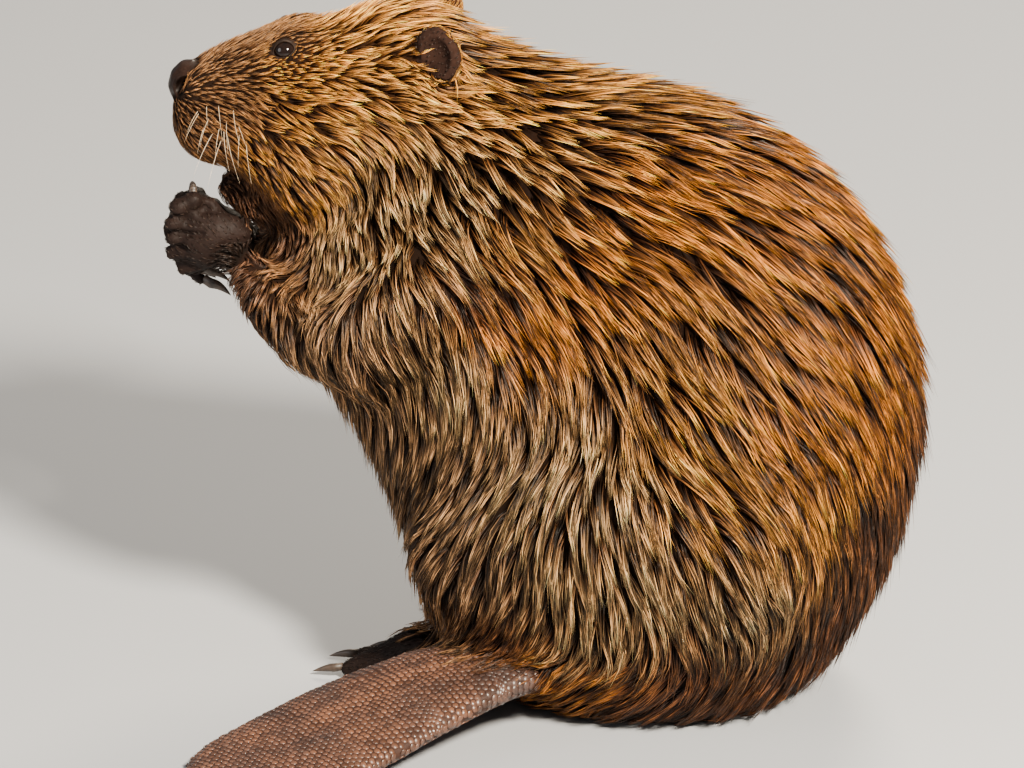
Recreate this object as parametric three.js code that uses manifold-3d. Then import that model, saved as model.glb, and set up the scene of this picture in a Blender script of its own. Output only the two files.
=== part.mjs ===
// A life-size still model of an adult North American beaver, sitting upright on its haunches with both
// hands raised to its mouth and its tail swept forward past its left foot. The forms reach out to the tips
// of the coat. Millimetres, +Z up. The trunk faces -X and its left side faces -Y. The origin is on the
// floor, in the middle of the flat seat under the rump.
import * as THREE from "three";
import { mergeVertices } from "three/addons/utils/BufferGeometryUtils.js";
import Module from "manifold-3d";

const wasm = await Module();
wasm.setup();

// ---- Driving sizes ----
const GAP = 0.3; // clearance between neighbouring pieces
const FAR = 600; // reach of a cutting block, more than the animal's height
const LEFT = -1;
const RIGHT = 1;
const HEAD_TURN = THREE.MathUtils.degToRad(12); // head and hands turned towards the animal's left
const HEAD_PIVOT = new THREE.Vector3(-80, 0, 0); // where the turn starts, on the trunk's middle plane
const EYE = { ahead: 122.5, out: 25.5, z: 379, radius: 6.5 };
const EAR = {
  ahead: 36, out: 45, z: 381, wide: 15.5, tall: 17.5, thick: 6.5, rim: 4.2, face: 30, lean: 0.12,
};
const NOSE = { ahead: 177, z: 351, long: 13, half: 16, tall: 15 };
const NOSTRIL = { ahead: 181, out: 13.5, z: 352, long: 6, deep: 6, tall: 4, slant: 0.5 };
const CLAW = { hand: 12, foot: 15, radius: 2.6, slim: 0.8, heel: -0.2, rings: [0, 0.4, 0.78], taper: 0.75 };
const HAND_DROP = { [LEFT]: 0, [RIGHT]: 11 }; // the right hand holds lower than the left

// Trunk and neck, from the seat up to the nape. Each row is one slice of the body, between a point on the
// belly side and a point on the back of the middle plane, with its half width.
const TRUNK = [
  { name: "under seat", belly: [-66, -16], back: [92, -16], half: 76 },
  { name: "base", belly: [-104, 18], back: [122, 20], half: 112 },
  { name: "haunch", belly: [-127, 52], back: [145, 60], half: 132 },
  { name: "hip", belly: [-139, 84], back: [161, 108], half: 140 },
  { name: "belly", belly: [-149, 114], back: [168, 165], half: 138 },
  { name: "waist", belly: [-166, 142], back: [161, 216], half: 127 },
  { name: "ribs", belly: [-187, 171], back: [143, 266], half: 115 },
  { name: "chest", belly: [-209, 195], back: [109, 311], half: 103 },
  { name: "shoulder", belly: [-230, 217], back: [60, 344], half: 90 },
  { name: "neck", belly: [-231, 237], back: [8, 359], half: 78 },
  { name: "throat", belly: [-223, 252], back: [-44, 367], half: 68 },
  { name: "nape", belly: [-212, 264], back: [-84, 380], half: 60 },
];

const TRUNK_SQUARE = 2.15; // 2 is an oval, and more is squarer

// Head, by distance ahead of its pivot: crown line, height of the widest point, lower line and half width
// there.
const HEAD = [
  { name: "in the neck", ahead: 0, top: 380, wide: 328, bottom: 270, half: 52, square: 2 },
  { name: "ears", ahead: 30, top: 396, wide: 332, bottom: 262, half: 56, square: 2.1 },
  { name: "crown", ahead: 58, top: 399, wide: 333, bottom: 260, half: 57, square: 2.2 },
  { name: "cheeks", ahead: 90, top: 394.5, wide: 332, bottom: 260, half: 55, square: 2.3 },
  { name: "eyes", ahead: 118, top: 387, wide: 332, bottom: 266, half: 49.5, square: 2.4 },
  { name: "bridge", ahead: 135, top: 383.5, wide: 335, bottom: 283, half: 43, square: 2.4 },
  { name: "lips", ahead: 150, top: 378.5, wide: 337, bottom: 301, half: 37, square: 2.4 },
  { name: "whiskers", ahead: 165, top: 371, wide: 338, bottom: 306, half: 33, square: 2.4 },
  { name: "nostrils", ahead: 176, top: 364, wide: 339, bottom: 310, half: 28, square: 2.5 },
  { name: "muzzle end", ahead: 183, top: 357, wide: 339, bottom: 316, half: 21, square: 2.5 },
  { name: "nose tip", ahead: 187, top: 350, wide: 338, bottom: 324, half: 13, square: 2.2 },
];

// The lower jaw with the chin, from inside the throat to its tip: ahead of the pivot, height, half width,
// half height.
const JAW = [
  [112, 286, 24, 24],
  [130, 286, 23, 22],
  [145, 288, 19, 18],
  [151, 290, 13, 13],
];

// The tail's middle line, from inside the rump to the tip, with its half width and half thickness.
const TAIL_ROOT = [
  [92, -6, 46, 34, 34],
  [66, -46, 41, 34, 33],
  [30, -72, 40, 31, 30],
  [-8, -84, 40, 26, 21],
  [-34, -88, 39, 28, 15],
];
const TAIL_PADDLE = [
  [-8, -84, 40, 24, 14],
  [-34, -88, 39, 28, 12],
  [-70, -103, 34, 39, 11],
  [-112, -137, 24, 47, 9.5],
  [-150, -180, 13, 50, 8],
  [-182, -222, 6, 45, 6.5],
  [-198, -243, 4.5, 34, 5.5],
  [-207, -255, 4.5, 18, 5],
];

// Limbs: points of the middle line, for the animal's right side, with the radius across and the radius
// upward.
const THIGH = [
  [80, 92, 122, 46, 62],
  [30, 103, 126, 48, 66],
  [-30, 103, 119, 44, 58],
  [-82, 92, 98, 38, 42],
];
const SHANK = [
  [-82, 82, 74, 30, 34],
  [-50, 66, 46, 28, 28],
  [-22, 56, 28, 24, 20],
];
const ARM = [
  [-96, 78, 252, 34, 40],
  [-138, 84, 222, 33, 38],
  [-165, 78, 217, 26, 28],
  [-198, 68, 232, 20, 21],
];
const WRIST = { ahead: 151, out: 29, z: 254, radius: 13 };

// Hand, by distance ahead of the head's pivot, out from its middle plane, and up: the palm, then the
// fingers from thumb to little finger as knuckle, bend and tip, with the way its claw points and the
// finger's thickness.
const PALM = { ahead: 164, out: 21, z: 265, long: 22, half: 11.5, tall: 18 };
const FINGERS = [
  { knuckle: [160, 19, 277], bend: [168, 16, 287], tip: [176, 13, 289], claw: [0.1, -1, 0.3], radius: 5 },
  { knuckle: [174, 21, 278], bend: [185, 17, 283], tip: [184, 7, 279], claw: [-1, -0.2, -0.3], radius: 6 },
  { knuckle: [180, 21, 270], bend: [190, 16, 270], tip: [186, 7, 267], claw: [-1, -0.2, -0.3], radius: 6.5 },
  { knuckle: [178, 21, 259], bend: [189, 16, 256], tip: [183, 7, 254], claw: [-1, -0.2, -0.3], radius: 6.5 },
  { knuckle: [170, 20, 252], bend: [184, 14, 245], tip: [174, 7, 243], claw: [-1, -0.2, -0.3], radius: 6 },
];

// Foot, along its own length from the heel: the sole's rows are distance, height, half width and half
// height.
const FOOT = { long: 163, toesFrom: 110, toeHigh: 7, web: 4.5, webFrom: 2, webReach: 0.86 };
const SOLE = [
  [8, 13.5, 15, 15],
  [44, 17.5, 19, 19],
  [86, 21.5, 22, 22.5],
  [106, 14, 27, 15],
  [124, 8.3, 30, 9],
];
const TOES = [
  { turn: -15, reach: 0.85, radius: 6 },
  { turn: -8, reach: 0.95, radius: 6.5 },
  { turn: 0, reach: 1, radius: 7 },
  { turn: 8, reach: 0.98, radius: 7 },
  { turn: 16, reach: 0.88, radius: 6.5 },
];
const LEFT_FOOT = { heel: [-4, -46], toe: [-166, -52] };
const RIGHT_FOOT = { heel: [34, 58], toe: [-128, 64] };

// Where the body is parted: planes through a point, each with the way that faces the head, and blocks
// given as [from, to] along x, outwards from the middle plane, and up.
const NECK_PLANE = { at: [-85, 0, 400], up: [-0.77, -0.06, 0.64] };
const TRUNK_PLANE = { at: [-10, 0, 370], up: [-0.506, 0, 0.862] };
const TAIL_PLANE = { at: [-14, -84, 40], along: [-0.92, -0.38, 0] };
const ARM_BLOCK = { x: [-FAR, -46], out: [56, FAR], z: [178.3, 297] };
const LEG_BLOCK = { x: [-134, 118], out: [52, FAR], z: [-FAR, 178] };
const FOREARM_FROM = -186; // ahead of this x the arms are free of the chest

// How finely each form is faceted: points round a ring, and rings along it. ENDS are the rings of a
// rounded end, each by how far round towards the pole it lies, in degrees.
const TRUNK_FACETS = { sides: 22, steps: 18 };
const HEAD_FACETS = { sides: 20, steps: 16, crowding: 1.35 };
const ENDS = { smooth: [32, 62], plain: [48] };

// ---- Colours of the pieces ----
function finish(color, roughness) {
  return new THREE.MeshStandardMaterial({ color, roughness, metalness: 0 });
}
const FUR = finish(0x8a5226, 0.75);
const FACE_FUR = finish(0x93602f, 0.75);
const HAND_SKIN = finish(0x2e211b, 0.6);
const TAIL_SKIN = finish(0x3b2a24, 0.4);
const NOSE_SKIN = finish(0x1c1614, 0.45);
const EYE_GLOSS = finish(0x0b0807, 0.05);
const CLAW_HORN = finish(0x1b1512, 0.35);

// ---- Shaping tools ----
const UP = new THREE.Vector3(0, 0, 1);
const ACROSS = new THREE.Vector3(0, 1, 0);
const NEAR = 0.02; // share of a limb's length over which its direction is taken
const vector = (numbers) => new THREE.Vector3(...numbers);

// A closed surface over rings of equally many points, with one point closing each end.
function lofted(rings, first, last) {
  const sides = rings[0].length;
  const points = [first, ...rings.flat(), last];
  const end = points.length - 1;
  const faces = [];
  const at = (ring, k) => 1 + ring * sides + (k % sides);
  for (let k = 0; k < sides; k++) {
    faces.push(0, at(0, k + 1), at(0, k));
    faces.push(end, at(rings.length - 1, k), at(rings.length - 1, k + 1));
    for (let ring = 0; ring < rings.length - 1; ring++) {
      faces.push(at(ring, k), at(ring, k + 1), at(ring + 1, k + 1));
      faces.push(at(ring, k), at(ring + 1, k + 1), at(ring + 1, k));
    }
  }
  const volume = faces.reduce((sum, _, i) => {
    if (i % 3) return sum;
    const [a, b, c] = [points[faces[i]], points[faces[i + 1]], points[faces[i + 2]]];
    return sum + a.dot(new THREE.Vector3().crossVectors(b, c));
  }, 0);
  if (volume < 0) faces.reverse();
  return new THREE.BufferGeometry().setFromPoints(points).setIndex(faces);
}

// A smooth reading of rows of numbers: give it a place between 0 and 1 along the rows' own middle line.
function smoothRows(rows, place) {
  const at = [0];
  for (let i = 1; i < rows.length; i++) at.push(at[i - 1] + place(rows[i]).distanceTo(place(rows[i - 1])));
  const spline = new THREE.CubicInterpolant(at, rows.flat(), rows[0].length);
  return (t) => Array.from(spline.evaluate(t * at[at.length - 1]));
}

// One ring around centre: an oval that is half wide across, and reaches high above and low below its
// widest line.
function ring(centre, across, above, { half, high, low, square = 2, sides }) {
  return Array.from({ length: sides }, (_, k) => {
    const angle = (2 * Math.PI * k) / sides;
    const bow = (v) => Math.sign(v) * Math.abs(v) ** (2 / square);
    const [c, s] = [bow(Math.cos(angle)), bow(Math.sin(angle))];
    return centre
      .clone()
      .addScaledVector(across, half * c)
      .addScaledVector(above, (s > 0 ? high : low) * s);
  });
}

// A limb along rows of [x, y, z, radius across, radius upward], with rounded ends.
function limb(rows, { sides, steps, grow = 0, square = 2, ends = ENDS.smooth }) {
  const row = smoothRows(rows, (r) => new THREE.Vector3(...r));
  const point = (t) => new THREE.Vector3(...row(t).slice(0, 3));
  const rings = [];
  const poles = [];
  const ringAt = (t, beyond, shrink) => {
    const ahead = point(Math.min(t + NEAR, 1)).sub(point(Math.max(t - NEAR, 0))).normalize();
    const across = new THREE.Vector3().crossVectors(ahead, UP).normalize();
    const above = new THREE.Vector3().crossVectors(across, ahead).normalize();
    const [half, high] = [row(t)[3] + grow, row(t)[4] + grow];
    const centre = point(t).addScaledVector(ahead, beyond * Math.min(half, high));
    const size = { half: half * shrink, high: high * shrink, low: high * shrink };
    if (shrink) rings.push(ring(centre, across, above, { ...size, square, sides }));
    else poles.push(centre);
  };
  const turns = ends.map(THREE.MathUtils.degToRad);
  ringAt(0, -1, 0);
  for (const a of [...turns].reverse()) ringAt(0, -Math.sin(a), Math.cos(a));
  for (let i = 0; i <= steps; i++) ringAt(i / steps, 0, 1);
  for (const a of turns) ringAt(1, Math.sin(a), Math.cos(a));
  ringAt(1, 1, 0);
  return lofted(rings, poles[0], poles[1]);
}

// An egg: a sphere stretched to three radii, turned and moved.
function egg(radii, centre, { turn = [0, 0, 0], sides }) {
  const shape = new THREE.SphereGeometry(1, sides, Math.round(sides * 0.7));
  shape.scale(...radii);
  shape.applyMatrix4(new THREE.Matrix4().makeRotationFromEuler(new THREE.Euler(...turn)));
  return shape.translate(...centre);
}

// A block with one face through a point, lying on the side of it that direction points to, for cutting.
function halfSpace(point, direction, gap = 0) {
  const space = new THREE.BoxGeometry(2 * FAR, 2 * FAR, 2 * FAR).translate(0, 0, FAR + gap);
  const turn = new THREE.Quaternion().setFromUnitVectors(UP, vector(direction).normalize());
  return space.applyQuaternion(turn).translate(...point);
}
const flipped = (direction) => direction.map((v) => -v);

// ---- Joining and cutting ----
function solid(geometry) {
  const bare = geometry.clone();
  for (const name of Object.keys(bare.attributes)) if (name !== "position") bare.deleteAttribute(name);
  const merged = mergeVertices(bare, 1e-3);
  return new wasm.Manifold(
    new wasm.Mesh({
      numProp: 3,
      vertProperties: merged.attributes.position.array,
      triVerts: new Uint32Array(merged.index.array),
    }),
  );
}
const join = (...shapes) => shapes.map((s) => (s.isBufferGeometry ? solid(s) : s)).reduce((a, b) => a.add(b));
const cut = (shape, ...tools) => tools.reduce((a, b) => a.subtract(b.isBufferGeometry ? solid(b) : b), shape);
const keep = (shape, ...blocks) => blocks.reduce((a, b) => a.intersect(solid(b)), shape);

const model = new THREE.Group();
function piece(name, shape, material) {
  const made = shape.getMesh();
  const geometry = new THREE.BufferGeometry()
    .setAttribute("position", new THREE.BufferAttribute(new Float32Array(made.vertProperties), 3))
    .setIndex(new THREE.BufferAttribute(new Uint32Array(made.triVerts), 1));
  geometry.computeVertexNormals();
  const mesh = new THREE.Mesh(geometry, material);
  mesh.name = name;
  model.add(mesh);
}

// ---- The head's own frame: ahead of the pivot along the turned head, out to one side, and up ----
const headFrame = new THREE.Matrix4().makeRotationZ(HEAD_TURN).setPosition(HEAD_PIVOT);
const inHead = (ahead, out, z) => new THREE.Vector3(-ahead, out, z).applyMatrix4(headFrame);
const turned = (geometry) => geometry.applyMatrix4(headFrame);

const mirrored = (rows, side) => rows.map(([x, y, ...rest]) => [x, side * y, ...rest]);

// ---- Trunk, neck and head, as one body parted by thin cuts ----
function trunkForm(grow = 0) {
  const rows = TRUNK.map((s) => [...s.belly, ...s.back, s.half]);
  const row = smoothRows(rows, ([a, b, c, d]) => new THREE.Vector3((a + c) / 2, 0, (b + d) / 2));
  const { sides, steps } = TRUNK_FACETS;
  const rings = [];
  for (let i = 0; i <= steps; i++) {
    const [bellyX, bellyZ, backX, backZ, half] = row(i / steps);
    const belly = new THREE.Vector3(bellyX, 0, bellyZ);
    const back = new THREE.Vector3(backX, 0, backZ);
    const reach = belly.distanceTo(back) / 2 + grow;
    const centre = belly.clone().add(back).multiplyScalar(0.5);
    const size = { half: half + grow, high: reach, low: reach };
    rings.push(ring(centre, ACROSS, back.sub(belly).normalize(), { ...size, square: TRUNK_SQUARE, sides }));
  }
  const middle = (points) => points.reduce((a, b) => a.clone().add(b)).divideScalar(points.length);
  return lofted(rings, middle(rings[0]), middle(rings[steps]));
}

function headForm(grow = 0) {
  const rows = HEAD.map((s) => [s.ahead, s.top, s.wide, s.bottom, s.half, s.square]);
  const row = smoothRows(rows, ([ahead]) => new THREE.Vector3(ahead, 0, 0));
  const { sides, steps, crowding } = HEAD_FACETS;
  const rings = [];
  for (let i = 0; i <= steps; i++) {
    const [ahead, top, wide, bottom, half, square] = row(1 - (1 - i / steps) ** crowding);
    const size = { half: half + grow, high: top - wide + grow, low: wide - bottom + grow };
    rings.push(ring(new THREE.Vector3(-ahead, 0, wide), ACROSS, UP, { ...size, square, sides }));
  }
  const start = HEAD[0];
  const tip = HEAD[HEAD.length - 1];
  const nape = vector([-start.ahead, 0, start.wide]);
  return turned(lofted(rings, nape, vector([-tip.ahead - 1 - grow, 0, tip.wide])));
}

// ---- Nose, jaw, ears and eyes ----
function noseForm(grow = 0) {
  const { ahead, z, long, half, tall } = NOSE;
  return turned(egg([long + grow, half + grow, tall + grow], [-ahead, 0, z], { sides: 11 }));
}

function nostrils() {
  const { ahead, out, z, long, deep, tall, slant } = NOSTRIL;
  return [LEFT, RIGHT].map((side) => {
    const turn = [0, slant, side * slant];
    return turned(egg([long, deep, tall], [-ahead, side * out, z], { turn, sides: 8 }));
  });
}

function jawForm(grow = 0) {
  const rows = JAW.map(([ahead, z, half, high]) => [-ahead, 0, z, half, high]);
  return turned(limb(rows, { sides: 12, steps: 4, grow }));
}

// A round flap with a shallow bowl in its outer face.
function earForm(side) {
  const { ahead, out, z, wide, tall, thick, rim, face, lean } = EAR;
  const turn = [side * lean, 0, side * THREE.MathUtils.degToRad(face)];
  const centre = vector([-ahead, side * out, z]);
  const bowlCentre = vector([0, side * thick, 0]).applyEuler(new THREE.Euler(...turn)).add(centre);
  const flap = turned(egg([wide, thick, tall], centre, { turn, sides: 12 }));
  const bowl = turned(egg([wide - rim, thick - 0.6, tall - rim], bowlCentre, { turn, sides: 10 }));
  return cut(solid(flap), bowl);
}

function eyeForm(side, grow = 0) {
  const { ahead, out, z, radius } = EYE;
  return turned(egg(Array(3).fill(radius + grow), [-ahead, side * out, z], { sides: 9 }));
}

// ---- Claws ----
// A claw from its root, first along one direction and then bending down by a share of its length.
function claw(root, along, length, bend) {
  const across = new THREE.Vector3().crossVectors(along, UP).normalize();
  const above = new THREE.Vector3().crossVectors(across, along).normalize();
  const at = (t) => {
    const spot = root.clone().addScaledVector(along, length * t);
    return spot.addScaledVector(above, -length * bend * t * Math.abs(t));
  };
  const rings = CLAW.rings.map((t) => {
    const radius = CLAW.radius * (1 - CLAW.taper * t);
    return ring(at(t), across, above, { half: radius * CLAW.slim, high: radius, low: radius, sides: 5 });
  });
  return lofted(rings, at(CLAW.heel), at(1));
}

// ---- Hands and arms ----
const onHead = (side, [ahead, out, z]) => inHead(ahead, side * out, z - HAND_DROP[side]);
const FINGER_TAPER = 0.9; // a finger loses this much radius at each joint
const TIP_GAP = 3.4; // from a fingertip's centre of roundness to its claw, past its radius

function fingerRows(side, { knuckle, bend, tip, radius }) {
  return [knuckle, bend, tip].map((spot, i) => {
    const thick = radius - i * FINGER_TAPER;
    return [...onHead(side, spot), thick, thick];
  });
}

function handClaws(side) {
  return FINGERS.map(({ tip, claw: [ahead, out, up], radius }) => {
    const root = onHead(side, tip);
    const way = onHead(side, [tip[0] + ahead, tip[1] + out, tip[2] + up]).sub(root).normalize();
    root.addScaledVector(way, radius - 2 * FINGER_TAPER + TIP_GAP);
    return claw(root, way, CLAW.hand, 0.3);
  });
}

function handForm(side) {
  const { ahead, out, z, long, half, tall } = PALM;
  const palm = turned(egg([long, half, tall], [-ahead, side * out, z - HAND_DROP[side]], { sides: 11 }));
  const fingers = FINGERS.map((f) => limb(fingerRows(side, f), { sides: 5, steps: 2, ends: ENDS.plain }));
  return join(palm, ...fingers);
}

function armForm(side, grow = 0) {
  const wrist = onHead(side, [WRIST.ahead, WRIST.out, WRIST.z]);
  const rows = [...mirrored(ARM, side), [...wrist, WRIST.radius, WRIST.radius]];
  return limb(rows, { sides: 10, steps: 5, grow });
}

// ---- Legs and feet ----
const thighForm = (side) => limb(mirrored(THIGH, side), { sides: 14, steps: 5 });
const shankForm = (side) => limb(mirrored(SHANK, side), { sides: 10, steps: 2 });

function footFrame({ heel, toe }) {
  const turn = Math.atan2(heel[1] - toe[1], heel[0] - toe[0]);
  return new THREE.Matrix4().makeRotationZ(turn).setPosition(heel[0], heel[1], 0);
}

const toeTip = ({ turn, reach }, share = 1) => {
  const angle = THREE.MathUtils.degToRad(turn);
  return new THREE.Vector3(-Math.cos(angle), Math.sin(angle), 0).multiplyScalar(FOOT.long * reach * share);
};

function footClaws(place) {
  return TOES.map((toe) => {
    const way = toeTip(toe).normalize().setZ(-0.12).normalize();
    const root = toeTip(toe).setZ(FOOT.toeHigh - 0.5).addScaledVector(way, 3.2);
    return claw(root, way, CLAW.foot, 0.12).applyMatrix4(footFrame(place));
  });
}

function soleForm(grow) {
  return limb(SOLE.map(([along, ...rest]) => [-along, 0, ...rest]), { sides: 10, steps: 3, grow });
}

function toeForm(toe, grow) {
  const rows = [
    [...toeTip(toe).setLength(FOOT.toesFrom).setZ(FOOT.toeHigh + 3), toe.radius + 1, toe.radius + 2],
    [...toeTip(toe, 0.85).setZ(FOOT.toeHigh), toe.radius, toe.radius + 0.5],
    [...toeTip(toe, 0.96).setZ(FOOT.toeHigh - 1), toe.radius - 1.2, toe.radius - 0.5],
  ];
  return limb(rows, { sides: 5, steps: 1, grow, ends: ENDS.plain });
}

// The skin between the toes, with a shallow dip between each two.
function webForm(grow) {
  const outline = new THREE.Shape().moveTo(-FOOT.toesFrom * 0.95, 0);
  TOES.forEach((toe, i) => {
    const tip = toeTip(toe, FOOT.webReach + 0.04);
    outline.lineTo(tip.x, tip.y);
    const next = TOES[i + 1];
    if (!next) return;
    const between = { turn: (toe.turn + next.turn) / 2, reach: Math.min(toe.reach, next.reach) };
    const dip = toeTip(between, FOOT.webReach);
    outline.lineTo(dip.x, dip.y);
  });
  const depth = FOOT.web + 2 * grow;
  return new THREE.ExtrudeGeometry(outline, { depth, bevelEnabled: false })
    .translate(0, 0, FOOT.webFrom - grow);
}

function footForm(place, grow = 0) {
  const parts = [soleForm(grow), ...TOES.map((toe) => toeForm(toe, grow)), webForm(grow)];
  return join(...parts).transform(footFrame(place).toArray());
}

// ---- Tail ----
const tailRootForm = (grow = 0) => limb(TAIL_ROOT, { sides: 12, steps: 4, grow });
const tailPaddleForm = (grow = 0) => limb(TAIL_PADDLE, { sides: 14, steps: 9, grow, square: 2.5 });

// ---- Putting the pieces together ----
const SIDES = [
  ["left", LEFT, LEFT_FOOT],
  ["right", RIGHT, RIGHT_FOOT],
];
const biggest = (shape) => shape.decompose().sort((a, b) => b.volume() - a.volume())[0];
const grounded = (shape) => biggest(keep(shape, halfSpace([0, 0, 0], [0, 0, 1])));

function block({ x, out, z }, side, grow = 0) {
  const size = [x, out, z].map(([from, to]) => to - from + 2 * grow);
  const centre = [x, out, z].map(([from, to]) => (from + to) / 2);
  return solid(new THREE.BoxGeometry(...size).translate(centre[0], side * centre[1], centre[2]));
}
const above = ({ at, up }) => halfSpace(at, up, GAP / 2);
const below = ({ at, up }) => halfSpace(at, flipped(up), GAP / 2);

// The free end of an arm, which reaches up past the head's and neck's parting planes.
function forearm(side, grow = 0) {
  return keep(solid(armForm(side, grow)), halfSpace([FOREARM_FROM + grow, 0, 0], [-1, 0, 0]));
}

// What the neighbours are cut by: each piece grown by the clearance.
const feetGrown = SIDES.map(([, , place]) => footForm(place, GAP));
const forearmsGrown = SIDES.map(([, side]) => forearm(side, GAP));
const eyesGrown = SIDES.map(([, side]) => eyeForm(side, GAP));
const blocksGrown = SIDES.flatMap(([, side]) => [block(ARM_BLOCK, side, GAP), block(LEG_BLOCK, side, GAP)]);
const tailGrown = join(
  keep(solid(tailPaddleForm(GAP)), halfSpace(TAIL_PLANE.at, TAIL_PLANE.along, -GAP)),
  keep(solid(tailRootForm(GAP)), halfSpace(TAIL_PLANE.at, flipped(TAIL_PLANE.along), -GAP)),
);

const limbs = SIDES.flatMap(([, side]) => [armForm(side), thighForm(side), shankForm(side)]);
const flesh = join(trunkForm(), headForm(), ...limbs);
const lower = keep(flesh, below(TRUNK_PLANE));
const face = keep(flesh, above(NECK_PLANE), above(TRUNK_PLANE));
const neck = keep(flesh, below(NECK_PLANE), above(TRUNK_PLANE));
const tailBase = keep(solid(tailRootForm()), halfSpace(TAIL_PLANE.at, flipped(TAIL_PLANE.along), GAP / 2));
const paddle = keep(solid(tailPaddleForm()), halfSpace(TAIL_PLANE.at, TAIL_PLANE.along, GAP / 2));

piece("head", biggest(cut(face, ...forearmsGrown, ...eyesGrown, noseForm(GAP))), FACE_FUR);
piece("lower_jaw", biggest(cut(solid(jawForm()), headForm(GAP), trunkForm(GAP))), FACE_FUR);
piece("nose", biggest(cut(solid(noseForm()), ...nostrils())), NOSE_SKIN);
piece("neck", biggest(cut(neck, ...forearmsGrown)), FUR);
piece("trunk", grounded(cut(lower, ...blocksGrown, ...forearmsGrown, ...feetGrown, tailGrown)), FUR);
piece("tail_base", grounded(tailBase), FUR);
piece("tail_paddle", grounded(cut(paddle, ...feetGrown)), TAIL_SKIN);

for (const [name, side, place] of SIDES) {
  const arm = lower.intersect(block(ARM_BLOCK, side)).add(forearm(side));
  const leg = lower.intersect(block(LEG_BLOCK, side));
  const throat = [jawForm(GAP), headForm(GAP), trunkForm(GAP)];
  piece(`eye_${name}`, solid(eyeForm(side)), EYE_GLOSS);
  piece(`ear_${name}`, biggest(cut(earForm(side), headForm(GAP), trunkForm(GAP))), FACE_FUR);
  piece(`foreleg_${name}`, biggest(cut(arm, jawForm(GAP), headForm(GAP))), FUR);
  piece(`hand_${name}`, biggest(cut(handForm(side), armForm(side, GAP), ...throat)), HAND_SKIN);
  piece(`hindleg_${name}`, grounded(cut(leg, ...feetGrown, tailGrown)), FUR);
  piece(`foot_${name}`, grounded(footForm(place)), HAND_SKIN);
  handClaws(side).forEach((horn, i) => piece(`hand_claw_${name}_${i + 1}`, solid(horn), CLAW_HORN));
  footClaws(place).forEach((horn, i) => piece(`foot_claw_${name}_${i + 1}`, solid(horn), CLAW_HORN));
}

export default model;
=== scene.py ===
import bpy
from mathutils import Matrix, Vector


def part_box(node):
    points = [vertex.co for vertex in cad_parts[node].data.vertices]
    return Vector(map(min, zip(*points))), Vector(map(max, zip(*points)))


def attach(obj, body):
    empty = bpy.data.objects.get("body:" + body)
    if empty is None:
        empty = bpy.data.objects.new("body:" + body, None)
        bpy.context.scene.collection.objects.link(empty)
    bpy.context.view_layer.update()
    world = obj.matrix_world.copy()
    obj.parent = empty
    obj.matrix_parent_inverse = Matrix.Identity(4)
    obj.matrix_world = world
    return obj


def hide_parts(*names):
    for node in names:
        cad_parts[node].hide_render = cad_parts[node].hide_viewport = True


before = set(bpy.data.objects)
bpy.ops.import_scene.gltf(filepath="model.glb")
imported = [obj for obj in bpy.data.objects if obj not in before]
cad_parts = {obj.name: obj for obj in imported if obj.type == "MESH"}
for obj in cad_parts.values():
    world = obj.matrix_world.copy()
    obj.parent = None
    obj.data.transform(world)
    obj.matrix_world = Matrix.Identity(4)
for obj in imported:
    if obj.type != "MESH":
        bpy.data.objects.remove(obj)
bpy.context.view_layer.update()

import math
from itertools import product

import bmesh
import bpy
import numpy as np
from mathutils import Matrix, Vector
from mathutils.bvhtree import BVHTree
from mathutils.kdtree import KDTree

MM = 0.001
rng = np.random.default_rng(7)

# The head is turned to its right by this angle round the upright line at HEAD_X mm.
HEAD_TURN = math.radians(12)
HEAD_X = -80


# ---- small tools

def unit(v):
    return v / np.maximum(np.linalg.norm(v, axis=-1, keepdims=True), 1e-12)


def tangent(way, normal):
    """The ways laid flat on the surface with these normals."""
    return unit(way - normal * (way * normal).sum(axis=-1, keepdims=True))


def smoothstep(x, low, high):
    t = np.clip((x - low) / (high - low), 0.0, 1.0)
    return t * t * (3 - 2 * t)


def in_head(ahead, out, z):
    """A point of the head's own frame, given in mm, as metres."""
    c, s = math.cos(HEAD_TURN), math.sin(HEAD_TURN)
    return np.array([HEAD_X - ahead * c - out * s, -ahead * s + out * c, z]) * MM


def head_frame(points):
    """Ahead, out and z of points, in mm."""
    c, s = math.cos(HEAD_TURN), math.sin(HEAD_TURN)
    x, y = points[:, 0] / MM - HEAD_X, points[:, 1] / MM
    return -x * c - y * s, -x * s + y * c, points[:, 2] / MM


def head_dir(ahead, out, z):
    c, s = math.cos(HEAD_TURN), math.sin(HEAD_TURN)
    return np.array([-ahead * c - out * s, -ahead * s + out * c, z])


def linked(name, data):
    obj = bpy.data.objects.new(name, data)
    bpy.context.collection.objects.link(obj)
    return obj


def mesh_object(name, verts, faces):
    mesh = bpy.data.meshes.new(name)
    verts, faces = np.asarray(verts, dtype=np.float32), np.asarray(faces, dtype=np.int32)
    mesh.vertices.add(len(verts))
    mesh.vertices.foreach_set("co", verts.ravel())
    mesh.loops.add(faces.size)
    mesh.loops.foreach_set("vertex_index", faces.ravel())
    mesh.polygons.add(len(faces))
    mesh.polygons.foreach_set("loop_start", np.arange(0, faces.size, faces.shape[1], dtype=np.int32))
    mesh.update(calc_edges=True)
    mesh.polygons.foreach_set("use_smooth", np.ones(len(faces), bool))
    return linked(name, mesh)


def values_of(items, name, width, kind=np.int32):
    """One value of every item of a mesh's layer, as rows of that width."""
    values = np.empty(len(items) * width, dtype=kind)
    items.foreach_get(name, values)
    return values.reshape(-1, width)


def read_mesh(mesh):
    mesh.calc_loop_triangles()
    verts = values_of(mesh.vertices, "co", 3, np.float32).astype(float)
    return verts, values_of(mesh.loop_triangles, "vertices", 3)


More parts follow.
